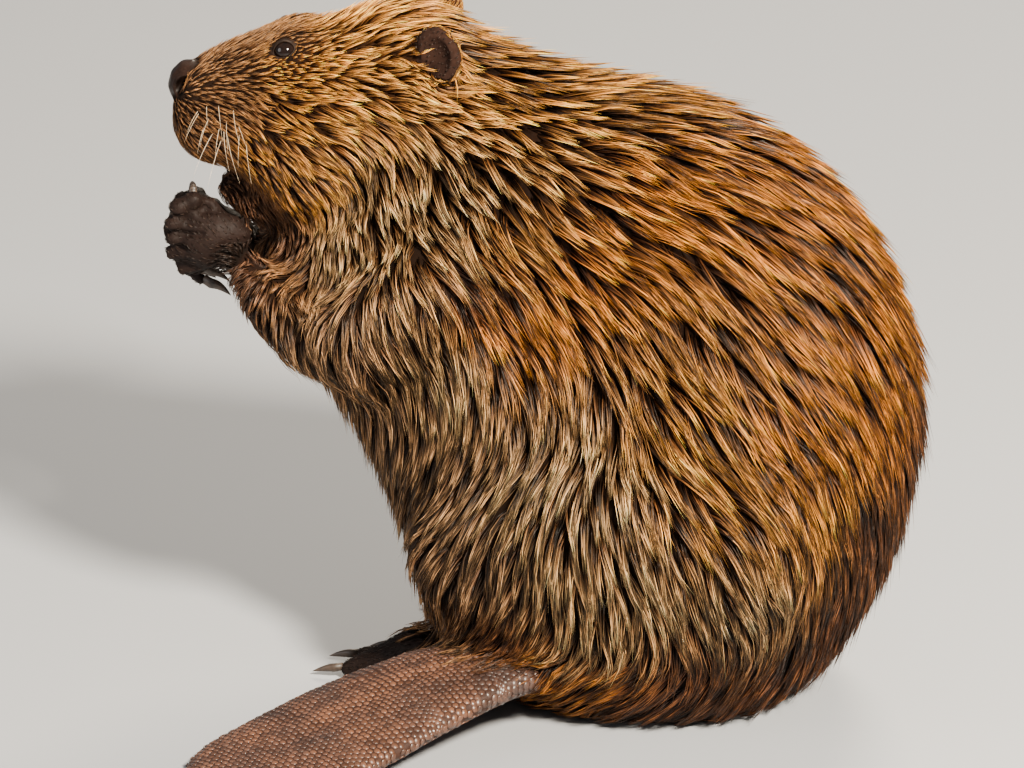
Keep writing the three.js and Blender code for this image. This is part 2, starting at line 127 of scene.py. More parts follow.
def merged(parts):
    """Several meshes, each its places and its faces, as one."""
    starts = np.cumsum([0] + [len(verts) for verts, _ in parts[:-1]])
    faces = [faces + start for (_, faces), start in zip(parts, starts)]
    return np.concatenate([verts for verts, _ in parts]), np.concatenate(faces)


def tree_of(verts, tris):
    return BVHTree.FromPolygons(verts.tolist(), tris.tolist())


def points_tree(points):
    tree = KDTree(len(points))
    for i, p in enumerate(points):
        tree.insert(p, i)
    tree.balance()
    return tree


def nearest_on(tree, points):
    """The places on the tree's surface nearest to points, and the faces they lie on."""
    hits = [tree.find_nearest(p) for p in points.tolist()]
    return np.array([h[0][:] for h in hits]), np.array([h[2] for h in hits])


def scatter(index, values, count):
    return np.stack([np.bincount(index, values[:, k], count) for k in range(values.shape[1])], axis=1)


def normals_of(verts, tris):
    cross = np.cross(verts[tris[:, 1]] - verts[tris[:, 0]], verts[tris[:, 2]] - verts[tris[:, 0]])
    return unit(scatter(tris.ravel(), np.repeat(cross, 3, axis=0), len(verts)))


class Net:
    """The edges of a mesh, to smooth places and values over it."""

    def __init__(self, tris, count):
        pairs = np.concatenate([tris[:, [0, 1]], tris[:, [1, 2]], tris[:, [2, 0]]])
        pairs = np.unique(np.sort(pairs, axis=1), axis=0)
        self.a = np.concatenate([pairs[:, 0], pairs[:, 1]])
        self.b = np.concatenate([pairs[:, 1], pairs[:, 0]])
        self.count = count
        self.degree = np.maximum(np.bincount(self.a, minlength=count), 1)[:, None]

    def smooth(self, values, times, weight=None):
        flat = values.ndim == 1
        values = values[:, None] if flat else values
        share = 0.6 if weight is None else 0.6 * weight[:, None]
        for _ in range(times):
            mean = scatter(self.a, values[self.b], self.count) / self.degree
            values = values + share * (mean - values)
        return values[:, 0] if flat else values


def finish_piece(obj, material, slot, *nodes):
    obj.data.materials.clear()
    obj.data.materials.append(material)
    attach(obj, "root")
    if nodes:
        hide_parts(*nodes)


def evaluated(obj):
    """The mesh of obj with its modifiers applied. The object and its own mesh are removed."""
    graph = bpy.context.evaluated_depsgraph_get()
    result = bpy.data.meshes.new_from_object(obj.evaluated_get(graph))
    drop(obj)
    return result


def drop(obj):
    mesh = obj.data
    bpy.data.objects.remove(obj)
    bpy.data.meshes.remove(mesh)


def side_faces(rings, sides):
    """The triangles between rings of points that follow each other along a tube."""
    faces = []
    for k in range(rings - 1):
        for j in range(sides):
            p, q = k * sides + j, k * sides + (j + 1) % sides
            faces += [(p, q, q + sides), (p, q + sides, p + sides)]
    return faces


def capped(rings, start, end):
    """A closed surface over rings of points, with a middle point at each end."""
    count, sides = rings.shape[:2]
    faces, last, middle = side_faces(count, sides), (count - 1) * sides, count * sides
    for p in range(sides):
        q = (p + 1) % sides
        faces += [(p, middle, q), (last + p, last + q, middle + 1)]
    return np.concatenate([rings.reshape(-1, 3), [start, end]]), np.array(faces)


# ---- the frame's solids

def node_mesh(name):
    """A node's places and triangles, with the places that its faces share welded."""
    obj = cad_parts[name]
    verts, tris = read_mesh(obj.data)
    m = np.array(obj.matrix_world)
    verts = verts @ m[:3, :3].T + m[:3, 3]
    weld = 1e-5
    _, first, back = np.unique(np.round(verts / weld).astype(np.int64), axis=0,
                               return_index=True, return_inverse=True)
    tris = back.reshape(-1)[tris]
    good = (tris[:, 0] != tris[:, 1]) & (tris[:, 1] != tris[:, 2]) & (tris[:, 0] != tris[:, 2])
    return verts[first], tris[good]


PAIRED = [limb + end for limb in ("ear", "foreleg", "hand", "hindleg", "foot") for end in ("_left", "_right")]
FLESH = ["trunk", "neck", "head", "lower_jaw", "nose"] + PAIRED + ["tail_base", "tail_paddle"]
solids = [node_mesh(name) for name in FLESH]
cad_label = np.repeat(np.arange(len(FLESH)), [len(tris) for _, tris in solids])
cad_tree = tree_of(*merged(solids))


# ---- skin

SIDES = {"left": -1, "right": 1}
EYES = {side: np.mean(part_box("eye_" + side), axis=0) for side in SIDES}
EYE_RADIUS = 6.5 * MM
EYE_OUT = {side: unit(head_dir(0.10, sign * 0.86, 0.46)) for side, sign in SIDES.items()}
# Each eyeball lies deeper than the frame's plain eye, as the real one does.
EYEBALL = {side: EYES[side] - EYE_OUT[side] * 3.0 * MM for side in SIDES}

# Round knuckles of each fist: ahead, out, z and radius in mm. The right fist is held lower.
KNUCKLES = [(176, 21, 289, 6.2), (184, 23, 285, 6.4), (187, 23, 275.5, 6.2), (187, 22, 266.5, 5.8),
            (181, 21, 258, 5.8)]
HAND_DROP = {"left": 0, "right": 11}
# The instep of the near foot, from under the belly to the toes: x, y, z and radius in mm. The far one is
# its mirror image, set back.
INSTEP = [(-84, -50, 34, 22), (-106, -50, 26, 18.5), (-124, -50, 18, 14.5), (-139, -51, 12, 11),
          (-153, -51, 8.5, 8)]
INSTEPS = [INSTEP, [(x + 38, 12 - y, z, radius) for x, y, z, radius in INSTEP]]
VOXEL = 1.5 * MM


def ball_of(centre, radius):
    work = bmesh.new()
    bmesh.ops.create_icosphere(work, subdivisions=3, radius=radius)
    work.verts.index_update()
    verts = np.array([v.co[:] for v in work.verts]) + centre
    tris = np.array([[v.index for v in f.verts] for f in work.faces])
    work.free()
    return verts, tris


def grown_flesh():
    """The flesh nodes, knuckles and insteps as one surface, each node grown a little so that they meet."""
    parts = []
    for side, sign in SIDES.items():
        for ahead, out, z, radius in KNUCKLES:
            parts.append(ball_of(in_head(ahead, sign * out, z - HAND_DROP[side]), radius * MM))
    for row in INSTEPS:
        for step in np.arange(0, len(row) - 0.99, 0.25):
            low = min(int(step), len(row) - 2)
            x, y, z, radius = np.array(row[low]) + (np.array(row[low + 1]) - row[low]) * (step - low)
            parts.append(ball_of(np.array([x, y, z]) * MM, radius * MM))
    for verts, tris in solids:
        parts.append((verts + normals_of(verts, tris) * 0.5 * MM, tris))
    return mesh_object("flesh", *merged(parts))


def remeshed(obj):
    m = obj.modifiers.new("remesh", "REMESH")
    m.mode, m.voxel_size = "VOXEL", VOXEL
    mesh = evaluated(obj)
    result = read_mesh(mesh)
    bpy.data.meshes.remove(mesh)
    return result


def refined(verts, tris):
    """The same surface with its triangles halved at the nose, eyes, ears and hands."""
    ahead, _, height = head_frame(verts)
    fine = (ahead > 158) & (ahead < 200) & (height > 300)
    for centre in EYES.values():
        fine |= np.linalg.norm(verts - centre, axis=1) < 15 * MM
    for name in ("hand_left", "hand_right", "ear_left", "ear_right"):
        low, high = (np.array(corner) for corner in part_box(name))
        fine |= ((verts > low - VOXEL) & (verts < high + VOXEL)).all(axis=1)
    rough = mesh_object("rough", verts, tris)
    work = bmesh.new()
    work.from_mesh(rough.data)
    edges = [e for e in work.edges if fine[e.verts[0].index] and fine[e.verts[1].index]]
    bmesh.ops.subdivide_edges(work, edges=edges, cuts=1, use_grid_fill=True)
    bmesh.ops.triangulate(work, faces=work.faces[:])
    work.to_mesh(rough.data)
    work.free()
    result = read_mesh(rough.data)
    drop(rough)
    return result


skin_v, skin_t = refined(*remeshed(grown_flesh()))
net = Net(skin_t, len(skin_v))
skin_v = net.smooth(skin_v, 5)

label = cad_label[nearest_on(cad_tree, skin_v)[1]]
part = {name: (label == i).astype(float) for i, name in enumerate(FLESH)}
ahead, _, height = head_frame(skin_v)
headish = part["head"] + part["lower_jaw"]

# How deep the coat is over each part, in mm. On the head it goes by how far ahead the place is.
DEPTHS = {"trunk": 12, "neck": 12, "tail_base": 10, "hindleg": 11, "foreleg": 6, "ear": 1, "hand": 0.6,
          "foot": 0.4}
SHRINK_STEPS = 4
depth = np.zeros(len(skin_v))
for name in FLESH:
    depth += part[name] * DEPTHS.get(name.split("_")[0] if name in PAIRED else name, 0)
depth += headish * np.interp(ahead, (0, 40, 80, 120, 150, 175), (12, 9.5, 7.5, 4.5, 3, 1.8))
depth = net.smooth(depth, 60)
for centre in EYES.values():
    depth *= 0.25 + 0.75 * smoothstep(np.linalg.norm(skin_v - centre, axis=1) / MM, 9, 24)
bare = net.smooth(part["hand_left"] + part["hand_right"] + part["foot_left"] + part["foot_right"], 6)
tail = net.smooth(part["tail_paddle"], 5)
nose = net.smooth(part["nose"], 3)
ear = net.smooth(part["ear_left"] + part["ear_right"], 5)
depth *= 1 - np.clip(tail * 1.2, 0, 1)

# The skin shrinks inside the solids by the coat's depth. Where that is deep it is smoothed on the way.
loose = np.clip((depth - 4) / 5, 0, 1)
skin_v = net.smooth(skin_v, 25, weight=loose)
for _ in range(SHRINK_STEPS):
    skin_v = skin_v - normals_of(skin_v, skin_t) * (depth * MM / SHRINK_STEPS)[:, None]
    skin_v = net.smooth(skin_v, 1, weight=np.clip(depth / 6, 0, 1))
    skin_v = net.smooth(skin_v, 8, weight=loose)


def falloff(near):
    return np.where(near < 1, (1 - near ** 2) ** 2, 0)[:, None]


def brush(centre, radius, push, stretch=None):
    """Moves the skin near centre, in metres, by push: a vector, or a distance along its normals."""
    global skin_v
    gap = skin_v - centre
    if stretch is not None:
        axis, factor = stretch
        gap = gap - np.outer(gap @ axis, axis) * (1 - 1 / factor)
    w = falloff(np.linalg.norm(gap, axis=1) / radius)
    skin_v = skin_v + (w * push if np.ndim(push) else w * push * sculpt_n)


def groove(points, radius, push):
    """The same along a line of points, always along the normals."""
    global skin_v
    best = np.full(len(skin_v), np.inf)
    for a, b in zip(points[:-1], points[1:]):
        t = np.clip(((skin_v - a) @ (b - a)) / ((b - a) @ (b - a)), 0, 1)
        best = np.minimum(best, np.linalg.norm(skin_v - a - t[:, None] * (b - a), axis=1))
    skin_v = skin_v + falloff(best / radius) * push * sculpt_n


sculpt_n = net.smooth(normals_of(skin_v, skin_t), 6)
rough_tree = tree_of(skin_v, skin_t)


def on_head(ahead, sign, z):
    """The skin's own point on that side of the head."""
    hit = rough_tree.ray_cast(in_head(ahead, sign * 90, z).tolist(), head_dir(0, -sign, 0).tolist())[0]
    return np.array(hit)


NOSTRILS = []
NOSTRIL_SLANT = unit(head_dir(-0.45, 0, 0.9))
for side, sign in SIDES.items():
    # The eye's hollow, its brow, the bridge between the brows and the crown.
    brush(EYEBALL[side] + EYE_OUT[side] * 5 * MM, 9 * MM, -EYE_OUT[side] * 4.5 * MM)
    brush(in_head(116, sign * 15, 391), 20 * MM, 3.4 * MM)
    brush(in_head(124, sign * 4, 388), 22 * MM, 1.0 * MM)
    brush(in_head(52, sign * 14, 400), 45 * MM, 4.5 * MM)
    # The nostril, with its rim, and the fold from it to the lip.
    nostril = on_head(181.5, sign, 354)
    NOSTRILS.append(nostril)
    brush(nostril, 9 * MM, 1.6 * MM, (NOSTRIL_SLANT, 1.3))
    brush(nostril, 5.6 * MM, head_dir(-0.5, -sign * 0.85, 0) * 9.0 * MM, (NOSTRIL_SLANT, 1.4))
    groove([on_head(176, sign, 344), on_head(170, sign, 337), on_head(163, sign, 332)], 3.0 * MM, -1.0 * MM)
# The split of the upper lip.
groove([in_head(196, 0, 352), in_head(190, 0, 335), in_head(186, 0, 318)], 2.6 * MM, -1.3 * MM)

# The folds between the fingers.
for side, sign in SIDES.items():
    place = [in_head(ahead, sign * (out + 4), z - HAND_DROP[side]) for ahead, out, z, _ in KNUCKLES[1:]]
    for first, second in zip(place[:-1], place[1:]):
        middle = (first + second) / 2
        groove([middle + head_dir(-16, sign * 3, 0) * MM, middle, middle + head_dir(7, -sign * 5, 0) * MM],
               3.0 * MM, -2.6 * MM)

# The tail's middle line: x, y, z and half its width in mm, and the long grooves down it.
TAIL = [(-8, -84, 40, 24), (-34, -88, 39, 28), (-70, -103, 34, 39), (-112, -137, 24, 47),
        (-150, -180, 13, 50), (-182, -222, 6, 45), (-198, -243, 4.5, 34), (-207, -255, 4.5, 18)]
TAIL_LINE, TAIL_HALF = np.array(TAIL)[:, :3] * MM, np.array(TAIL)[:, 3] * MM
for share, push in ((0.05, -1.0), (-0.42, -0.7), (0.5, -0.7)):
    line = []
    for k in range(1, 7):
        way = unit((TAIL_LINE[k + 1] - TAIL_LINE[k - 1]) * (1, 1, 0))
        spot = TAIL_LINE[k] + np.cross(way, (0, 0, 1)) * TAIL_HALF[k] * share
        line.append(np.array(rough_tree.find_nearest((spot + (0, 0, 12 * MM)).tolist())[0]))
    groove(line, 7 * MM, push * MM)
skin_v = net.smooth(skin_v, 1, weight=np.clip(bare + nose, 0, 1))
# A round tip to the tail.
to_tip = np.linalg.norm(skin_v - TAIL_LINE[-2], axis=1) / MM
skin_v = net.smooth(skin_v, 120, weight=tail * (1 - smoothstep(to_tip, 36, 60)))
# The skin stays just clear of the floor.
skin_v[:, 2] = np.maximum(skin_v[:, 2], 0.4 * MM)
skin_n = normals_of(skin_v, skin_t)

# ---- lie and colours of the coat

# Colours of a lock at its root, middle and tip.
COLOURS = {
    "gold": ((0.018, 0.006, 0.002), (0.16, 0.054, 0.009), (0.95, 0.41, 0.05)),
    "amber": ((0.016, 0.005, 0.002), (0.15, 0.042, 0.005), (0.93, 0.32, 0.024)),
    "cream": ((0.022, 0.009, 0.003), (0.19, 0.082, 0.026), (0.99, 0.68, 0.32)),
    # The honey locks on the crown, forehead and cheek behind the eye are made brighter as painted sunlight.
    "honey": ((0.046, 0.016, 0.004), (0.38, 0.138, 0.026), (0.99, 0.5, 0.08)),
    "tan": ((0.026, 0.012, 0.006), (0.14, 0.068, 0.03), (0.56, 0.33, 0.16)),
    # The umber locks low on the seat and belly, on the rump's back and at the tail's root are made darker as
    # painted shade.
    "umber": ((0.008, 0.003, 0.002), (0.04, 0.014, 0.005), (0.2, 0.07, 0.022)),
    # The muzzle's dull, darker brown is painted shade over the front of the face.
    "muzzle": ((0.026, 0.011, 0.005), (0.1, 0.043, 0.016), (0.3, 0.14, 0.048)),
    "dark": ((0.011, 0.006, 0.004), (0.018, 0.01, 0.007), (0.03, 0.017, 0.012)),
    # The chin's darker brown is painted shade under the jaw.
    "chin": ((0.026, 0.011, 0.006), (0.08, 0.034, 0.017), (0.21, 0.098, 0.046)),
}

# On both flanks: x, z, the way the hair lies along x and z, its length in mm and its colours.
FLANK = [
    (-98, 224, 0.35, -1, 38, "cream"), (-62, 258, 0.6, -0.8, 40, "amber"),
    (-26, 285, 0.8, -0.6, 42, "amber"), (10, 325, 0.88, -0.45, 42, "amber"),
    (58, 350, 0.88, -0.48, 42, "amber"), (94, 315, 0.72, -0.68, 42, "amber"),
    (125, 268, 0.58, -0.82, 40, "amber"), (145, 205, 0.38, -0.95, 40, "amber"),
    (150, 138, 0.12, -1, 40, "umber"), (138, 76, -0.25, -1, 38, "umber"),
    (100, 34, -0.6, -0.8, 36, "umber"), (46, 23, -0.8, -0.6, 34, "umber"),
    # The cream lock at x 82, z 107, low on the flank, is a painted pool of sunlight.
    (82, 107, 0.4, -0.92, 38, "cream"), (58, 173, 0.62, -0.78, 40, "gold"),
    (28, 215, 0.55, -0.8, 40, "gold"), (22, 127, 0.35, -0.92, 36, "cream"),
    (-2, 187, 0.05, -1, 36, "cream"), (-14, 124, 0.08, -1, 34, "cream"), (-38, 166, -0.12, -1, 34, "cream"),
    (-62, 121, -0.3, -0.95, 32, "tan"), (-80, 169, -0.18, -1, 32, "tan"),
    (-92, 106, -0.38, -0.92, 28, "tan"), (-104, 74, -0.35, -0.92, 26, "tan"),
    (-159, 238, 0.2, -1, 34, "tan"), (-189, 262, -0.25, -1, 24, "muzzle"),
    (-214, 262, -0.55, -0.8, 11, "chin"), (-177, 218, 0.35, -0.9, 30, "tan"),
    (-134, 190, 0.4, -0.9, 32, "tan"), (-122, 141, -0.22, -1, 28, "tan"), (-2, 72, 0.15, -1, 32, "cream"),
    (58, 62, 0.2, -0.95, 34, "umber"), (14, 44, -0.85, -0.5, 32, "amber"),
    (-20, 50, -0.85, -0.4, 28, "amber"), (52, 34, -0.6, -0.75, 32, "umber"),
    (120, 165, 0.3, -0.95, 40, "gold"), (100, 205, 0.55, -0.85, 42, "amber"),
    (-66, 365, 0.75, -0.6, 38, "gold"), (-38, 386, 0.95, -0.3, 38, "gold"),
    (-110, 316, 0.25, -0.95, 36, "cream"), (-145, 322, -0.05, -1, 34, "cream"),
    (-74, 307, 0.55, -0.8, 38, "gold"), (-48, 62, -0.35, -0.9, 24, "umber"),
]
# Along the middle line: x, z and the same.
MIDDLE = [
    (-70, 390, 0.95, 0.05, 36, "gold"), (0, 378, 0.97, -0.2, 40, "gold"),
    (60, 344, 0.9, -0.45, 42, "amber"), (110, 305, 0.75, -0.66, 42, "amber"),
    (145, 245, 0.45, -0.9, 42, "amber"), (165, 175, 0.15, -1, 42, "umber"),
    (158, 100, -0.05, -1, 40, "umber"), (135, 40, -0.4, -0.9, 36, "umber"), (60, 4, -1, -0.1, 30, "umber"),
    (-190, 215, 0.2, -1, 30, "tan"), (-170, 150, 0.1, -1, 28, "tan"), (-140, 95, 0.05, -1, 26, "tan"),
    (-120, 50, 0.1, -1, 22, "umber"), (-195, 270, 0.2, -0.95, 22, "muzzle"),
]
# On both sides of the head, in its own frame: ahead, out, z, the way along these, length and colours.
HEAD = [
    (178, 0, 366, -1, 0, 0.25, 8, "muzzle"), (165, 20, 368, -1, 0.1, 0.15, 10, "muzzle"),
    (174, 24, 340, -1, 0.3, -0.35, 8, "muzzle"), (165, 30, 318, -0.7, 0.15, -0.8, 10, "muzzle"),
    (150, 30, 350, -1, 0.25, -0.22, 12, "muzzle"), (145, 36, 325, -0.85, 0.1, -0.55, 14, "gold"),
    (148, 0, 379, -1, 0, 0.15, 12, "muzzle"), (130, 15, 388, -1, 0.05, 0.1, 14, "muzzle"),
    (122, 24, 390, -1, 0.2, 0.1, 14, "muzzle"), (128, 36, 370, -1, 0.12, -0.02, 12, "gold"),
    (112, 38, 372, -1, 0.06, 0.02, 13, "gold"), (125, 43, 350, -1, 0.15, -0.3, 17, "gold"),
    (100, 0, 395, -1, 0, 0.05, 17, "honey"), (92, 30, 390, -1, 0.05, 0, 17, "honey"),
    (95, 52, 355, -1, 0.05, -0.18, 18, "honey"), (105, 50, 325, -0.8, 0, -0.55, 21, "honey"),
    (120, 42, 302, -0.55, 0, -0.8, 20, "gold"), (72, 56, 345, -0.9, 0, -0.4, 23, "honey"),
    (62, 52, 378, -1, 0.05, 0.05, 13, "honey"), (52, 55, 364, -1, 0.05, -0.2, 12, "honey"),
    (36, 55, 352, -0.9, 0, -0.45, 14, "honey"), (62, 0, 399, -1, 0, 0, 24, "honey"),
    (38, 30, 393, -1, 0.05, -0.08, 26, "honey"), (20, 0, 391, -1, 0, -0.1, 32, "gold"),
    (45, 57, 340, -0.78, 0, -0.62, 28, "cream"), (75, 56, 305, -0.55, 0, -0.85, 28, "cream"),
    (100, 46, 280, -0.3, 0, -0.95, 26, "cream"), (18, 52, 362, -0.9, 0, -0.4, 28, "gold"),
    (20, 50, 300, -0.6, 0, -0.8, 34, "cream"), (80, 20, 262, -0.4, 0, -0.6, 20, "chin"),
    (118, 22, 276, -0.7, 0, -0.5, 13, "chin"), (148, 10, 288, -0.6, 0, -0.7, 8, "chin"),
    (135, 22, 290, -0.6, 0, -0.6, 9, "chin"), (150, 0, 303, -1, 0, -0.3, 6, "chin"),
]
# On the limbs, along their own bones: from, to, length and colours.
LIMBS = {
    "foreleg": ((-138, 84, 222), (-198, 68, 232), 6, "dark"),
    "hand": ((-215, 66, 250), (-250, 50, 275), 5, "dark"),
    "foot": ((-20, 50, 20), (-160, 54, 8), 6, "dark"),
    "ear": ((-110, 52, 380), (-102, 54, 390), 7, "gold"),
    "tail_base": ((40, -60, 60), (-40, -92, 40), 26, "umber"),
}


def on_flank(x, z, side):
    """A place on that flank, or 0.1 m out where no solid lies."""
    hit = cad_tree.ray_cast((x * MM, side * 1.0, z * MM), (0, -side, 0))[0]
    return np.array(hit or (x * MM, side * 0.1, z * MM))


def guide(place, way, length, colours):
    return place, np.concatenate([unit(np.array(way, float)), [length], np.ravel(COLOURS[colours])])


guides = []
for side in (-1, 1):
    for x, z, dx, dz, *looks in FLANK:
        guides.append(guide(on_flank(x, z, side), (dx, 0, dz), *looks))
    for ahead_at, out, z, da, do, dz, *looks in HEAD:
        guides.append(guide(in_head(ahead_at, side * out, z), head_dir(da, side * do, dz), *looks))
for x, z, dx, dz, *looks in MIDDLE:
    guides.append(guide((x * MM, 0, z * MM), (dx, 0, dz), *looks))
guide_place, guide_data = (np.array(column) for column in zip(*guides))
GUIDE_REACH = 9 * MM
CUP_LENGTH = 3.6


def coat_at(points, names):
    """Way, length and the nine colour numbers of the coat at points on the named nodes."""
    result = np.empty((len(points), guide_data.shape[1]))
    for i in range(0, len(points), 8192):
        gap = ((points[i:i + 8192, None] - guide_place[None]) ** 2).sum(axis=2)
        w = 1 / (gap + GUIDE_REACH ** 2) ** 2
        result[i:i + 8192] = (w @ guide_data) / w.sum(axis=1, keepdims=True)
    for centre in EYES.values():
        result[:, 3] *= 0.42 + 0.58 * smoothstep(np.linalg.norm(points - centre, axis=1) / MM, 9, 24)
    for limb, (start, end, length, colours) in LIMBS.items():
        here = np.array([n.startswith(limb) for n in names])
        if limb == "foreleg":
            here &= points[:, 0] < -210 * MM - 0.5 * (275 * MM - points[:, 2])
        if not here.any():
            continue
        data = guide(None, np.array(end, float) - np.array(start, float), length, colours)[1]
        result[here] = data
        if limb != "tail_base":
            # The two limbs of a pair lie like each other's reflections.
            result[here, 1] *= np.where(points[here, 1] < (0.0 if limb != "hand" else -0.05), -1, 1)
        if limb == "ear":
            # The cup, which faces out and forward, is dark with shorter hair.
            for sign in (-1, 1):
                facing = (points - in_head(36, sign * 45, 381)) @ head_dir(0.5, sign * 0.866, 0)
                cup = here & (facing > -0.5 * MM) & ((points[:, 1] > -20 * MM) == (sign > 0))
                result[cup, 3:] = np.concatenate([[CUP_LENGTH], np.ravel(COLOURS["dark"])])
    return result


# ---- materials

class Shader:
    """Small helper to write a material's nodes. All noise lies in the object's own space."""

    def __init__(self, name):
        self.material = bpy.data.materials.new(name)
        self.material.use_nodes = True
        self.tree = self.material.node_tree
        self.surface = self.tree.nodes["Principled BSDF"]
        self.place = self.node("ShaderNodeTexCoord").outputs["Object"]

    def fill(self, made, sockets):
        for key, value in sockets.items():
            if isinstance(value, bpy.types.NodeSocket):
                self.tree.links.new(value, made.inputs[key])
            else:
                made.inputs[key].default_value = (*value, 1) if isinstance(value, tuple) else value
        return made

    def node(self, kind, sockets=(), **settings):
        made = self.tree.nodes.new(kind)
        for key, value in settings.items():
            setattr(made, key, value)
        return self.fill(made, dict(sockets))

    def attribute(self, name, output="Fac"):
        return self.node("ShaderNodeAttribute", attribute_name=name).outputs[output]

    def noise(self, scale, detail):
        return self.node("ShaderNodeTexNoise", {"Scale": scale, "Detail": detail, "Roughness": 0.55,
                                                "Vector": self.place}).outputs["Fac"]

    def grade(self, value, low, high, to_low=0.0, to_high=1.0):
        return self.node("ShaderNodeMapRange", {"Value": value, "From Min": low, "From Max": high,
                                                "To Min": to_low, "To Max": to_high}).outputs["Result"]

    def cloud(self, scale, detail, low, high):
        """Noise spread over the range from low to high."""
        return self.grade(self.noise(scale, detail), 0.3, 0.7, low, high)

    def ramp(self, value, dark, light, low=0.3):
        made = self.node("ShaderNodeValToRGB", {"Fac": value})
        for stop, at, colour in zip(made.color_ramp.elements, (low, 0.75), (dark, light)):
            stop.position, stop.color = at, (*colour, 1)
        return made.outputs["Color"]

    def product(self, a, b):
        return self.node("ShaderNodeMath", {0: a, 1: b}, operation="MULTIPLY").outputs[0]

    def mix(self, share, a, b, blend="MIX"):
        made = self.node("ShaderNodeMix", data_type="RGBA", blend_type=blend)
        return self.fill(made, {0: share, 6: a, 7: b}).outputs[2]

    def tinted(self, colour, *tones):
        """The colour made lighter and darker by the product of two tones."""
        tone = self.product(*tones)
        grey = self.node("ShaderNodeCombineColor", {0: tone, 1: tone, 2: tone}).outputs[0]
        return self.mix(1.0, colour, grey, "MULTIPLY")

    def bump(self, height, strength, distance, below=None):
        sockets = {"Height": height, "Strength": strength, "Distance": distance}
        if below is not None:
            sockets["Normal"] = below
        return self.node("ShaderNodeBump", sockets).outputs["Normal"]

    def done(self, colour, roughness, normal=None, shine=0.5):
        self.fill(self.surface, {"Base Color": colour, "Roughness": roughness, "Specular IOR Level": shine})
        if normal is not None:
            self.fill(self.surface, {"Normal": normal})
        return self.material


def colour_attribute(mesh, name, colours):
    layer = mesh.attributes.new(name, "FLOAT_COLOR", "POINT")
    layer.data.foreach_set("color", np.insert(colours, 3, 1, axis=1).astype(np.float32).ravel())


def value_attribute(mesh, name, values):
    layer = mesh.attributes.new(name, "FLOAT", "POINT")
    layer.data.foreach_set("value", values.astype(np.float32))


def coat_material():
    s = Shader("fur")
    colour = s.tinted(s.attribute("hair_colour", "Color"), s.cloud(22.0, 3.0, 0.78, 1.16),
                      s.cloud(900.0, 2.0, 0.88, 1.12))
    return s.done(colour, s.cloud(120.0, 2.0, 0.36, 0.52), s.bump(s.noise(1600.0, 2.0), 0.25, 0.2 * MM), 0.22)


def skin_material():
    s = Shader("skin")
    bare_mask, tail_mask, nose_mask = (s.attribute(name) for name in ("bare", "tail", "nose_pad"))
    colour = s.tinted(s.attribute("skin_colour", "Color"), s.cloud(60.0, 5.0, 0.7, 1.25),
                      s.cloud(700.0, 4.0, 0.8, 1.2))
    folds = s.node("ShaderNodeTexVoronoi", {"Vector": s.place, "Scale": 700.0}, feature="DISTANCE_TO_EDGE")
    leather = s.bump(s.grade(folds.outputs[0], 0.0, 0.25), s.product(bare_mask, 0.18), 0.25 * MM)
    pores = s.bump(s.noise(1500.0, 3.0), 0.35, 0.2 * MM, leather)
    rough = s.mix(bare_mask, (0.95, 0.95, 0.95), (0.62, 0.62, 0.62))
    rough = s.mix(tail_mask, rough, (0.36, 0.36, 0.36))
    rough = s.mix(nose_mask, rough, (0.32, 0.32, 0.32))
    rough = s.node("ShaderNodeSeparateColor", {0: rough}).outputs[0]
    return s.done(colour, s.product(rough, s.cloud(300.0, 3.0, 0.85, 1.2)), pores, 0.09)


def glossy_material(name, dark, light, rough_low, rough_high, scale, shine=0.5):
    s = Shader(name)
    grain = s.noise(scale, 4.0)
    return s.done(s.ramp(grain, dark, light), s.cloud(scale * 2, 3.0, rough_low, rough_high),
                  s.bump(grain, 0.15, 0.1 * MM), shine)


def eye_material():
    s = Shader("eye")
    colour = s.ramp(s.noise(240.0, 3.0), (0.003, 0.002, 0.002), (0.012, 0.006, 0.004), 0.35)
    return s.done(colour, s.cloud(90.0, 2.0, 0.04, 0.09), None, 0.3)


def scale_material():
    s = Shader("scales")
    patches = s.grade(s.noise(28.0, 4.0), 0.36, 0.64)
    colour = s.tinted(s.mix(patches, (0.034, 0.019, 0.015), (0.108, 0.045, 0.024)),
                      s.grade(s.attribute("scale_tone"), 0.0, 1.0, 0.6, 1.35), s.cloud(900.0, 4.0, 0.8, 1.2))
    return s.done(colour, s.cloud(250.0, 3.0, 0.26, 0.46), s.bump(s.noise(1800.0, 4.0), 0.4, 0.15 * MM))


FUR = coat_material()
EYE = eye_material()
SCALE = scale_material()
SKIN = skin_material()
CLAW = glossy_material("claw", (0.010, 0.006, 0.004), (0.055, 0.032, 0.02), 0.42, 0.6, 260.0)
WHISKER = glossy_material("whisker", (0.32, 0.22, 0.13), (0.75, 0.62, 0.45), 0.3, 0.45, 500.0)
LID = glossy_material("eyelid", (0.006, 0.004, 0.003), (0.022, 0.011, 0.007), 0.6, 0.8, 420.0, 0.12)

# ---- the skin as an object

# Under the fur the skin has the coat's root colour, made darker as painted shade so that bare patches read as
# the shadow between locks. The rest has its own colours.
names = np.array(FLESH)[label]
coat_here = coat_at(skin_v, names)
UNDER_SHADE = 0.3
under = coat_here[:, 4:7] * UNDER_SHADE
BARE_COLOURS = ((bare, (0.010, 0.0054, 0.0043)), (tail, (0.030, 0.015, 0.011)),
                (nose, (0.015, 0.008, 0.006)), (ear, (0.020, 0.009, 0.006)))
for mask, colour in BARE_COLOURS:
    under = under + (np.array(colour) - under) * np.clip(mask, 0, 1)[:, None]
# The skin round each nostril is made darker: painted shade in the nostril's hollow.
for nostril in NOSTRILS:
    gap = np.linalg.norm(skin_v - nostril, axis=1) / MM
    under = under * (0.12 + 0.88 * smoothstep(gap, 4.2, 7.0))[:, None]


FURRED_TRIANGLES = 90000


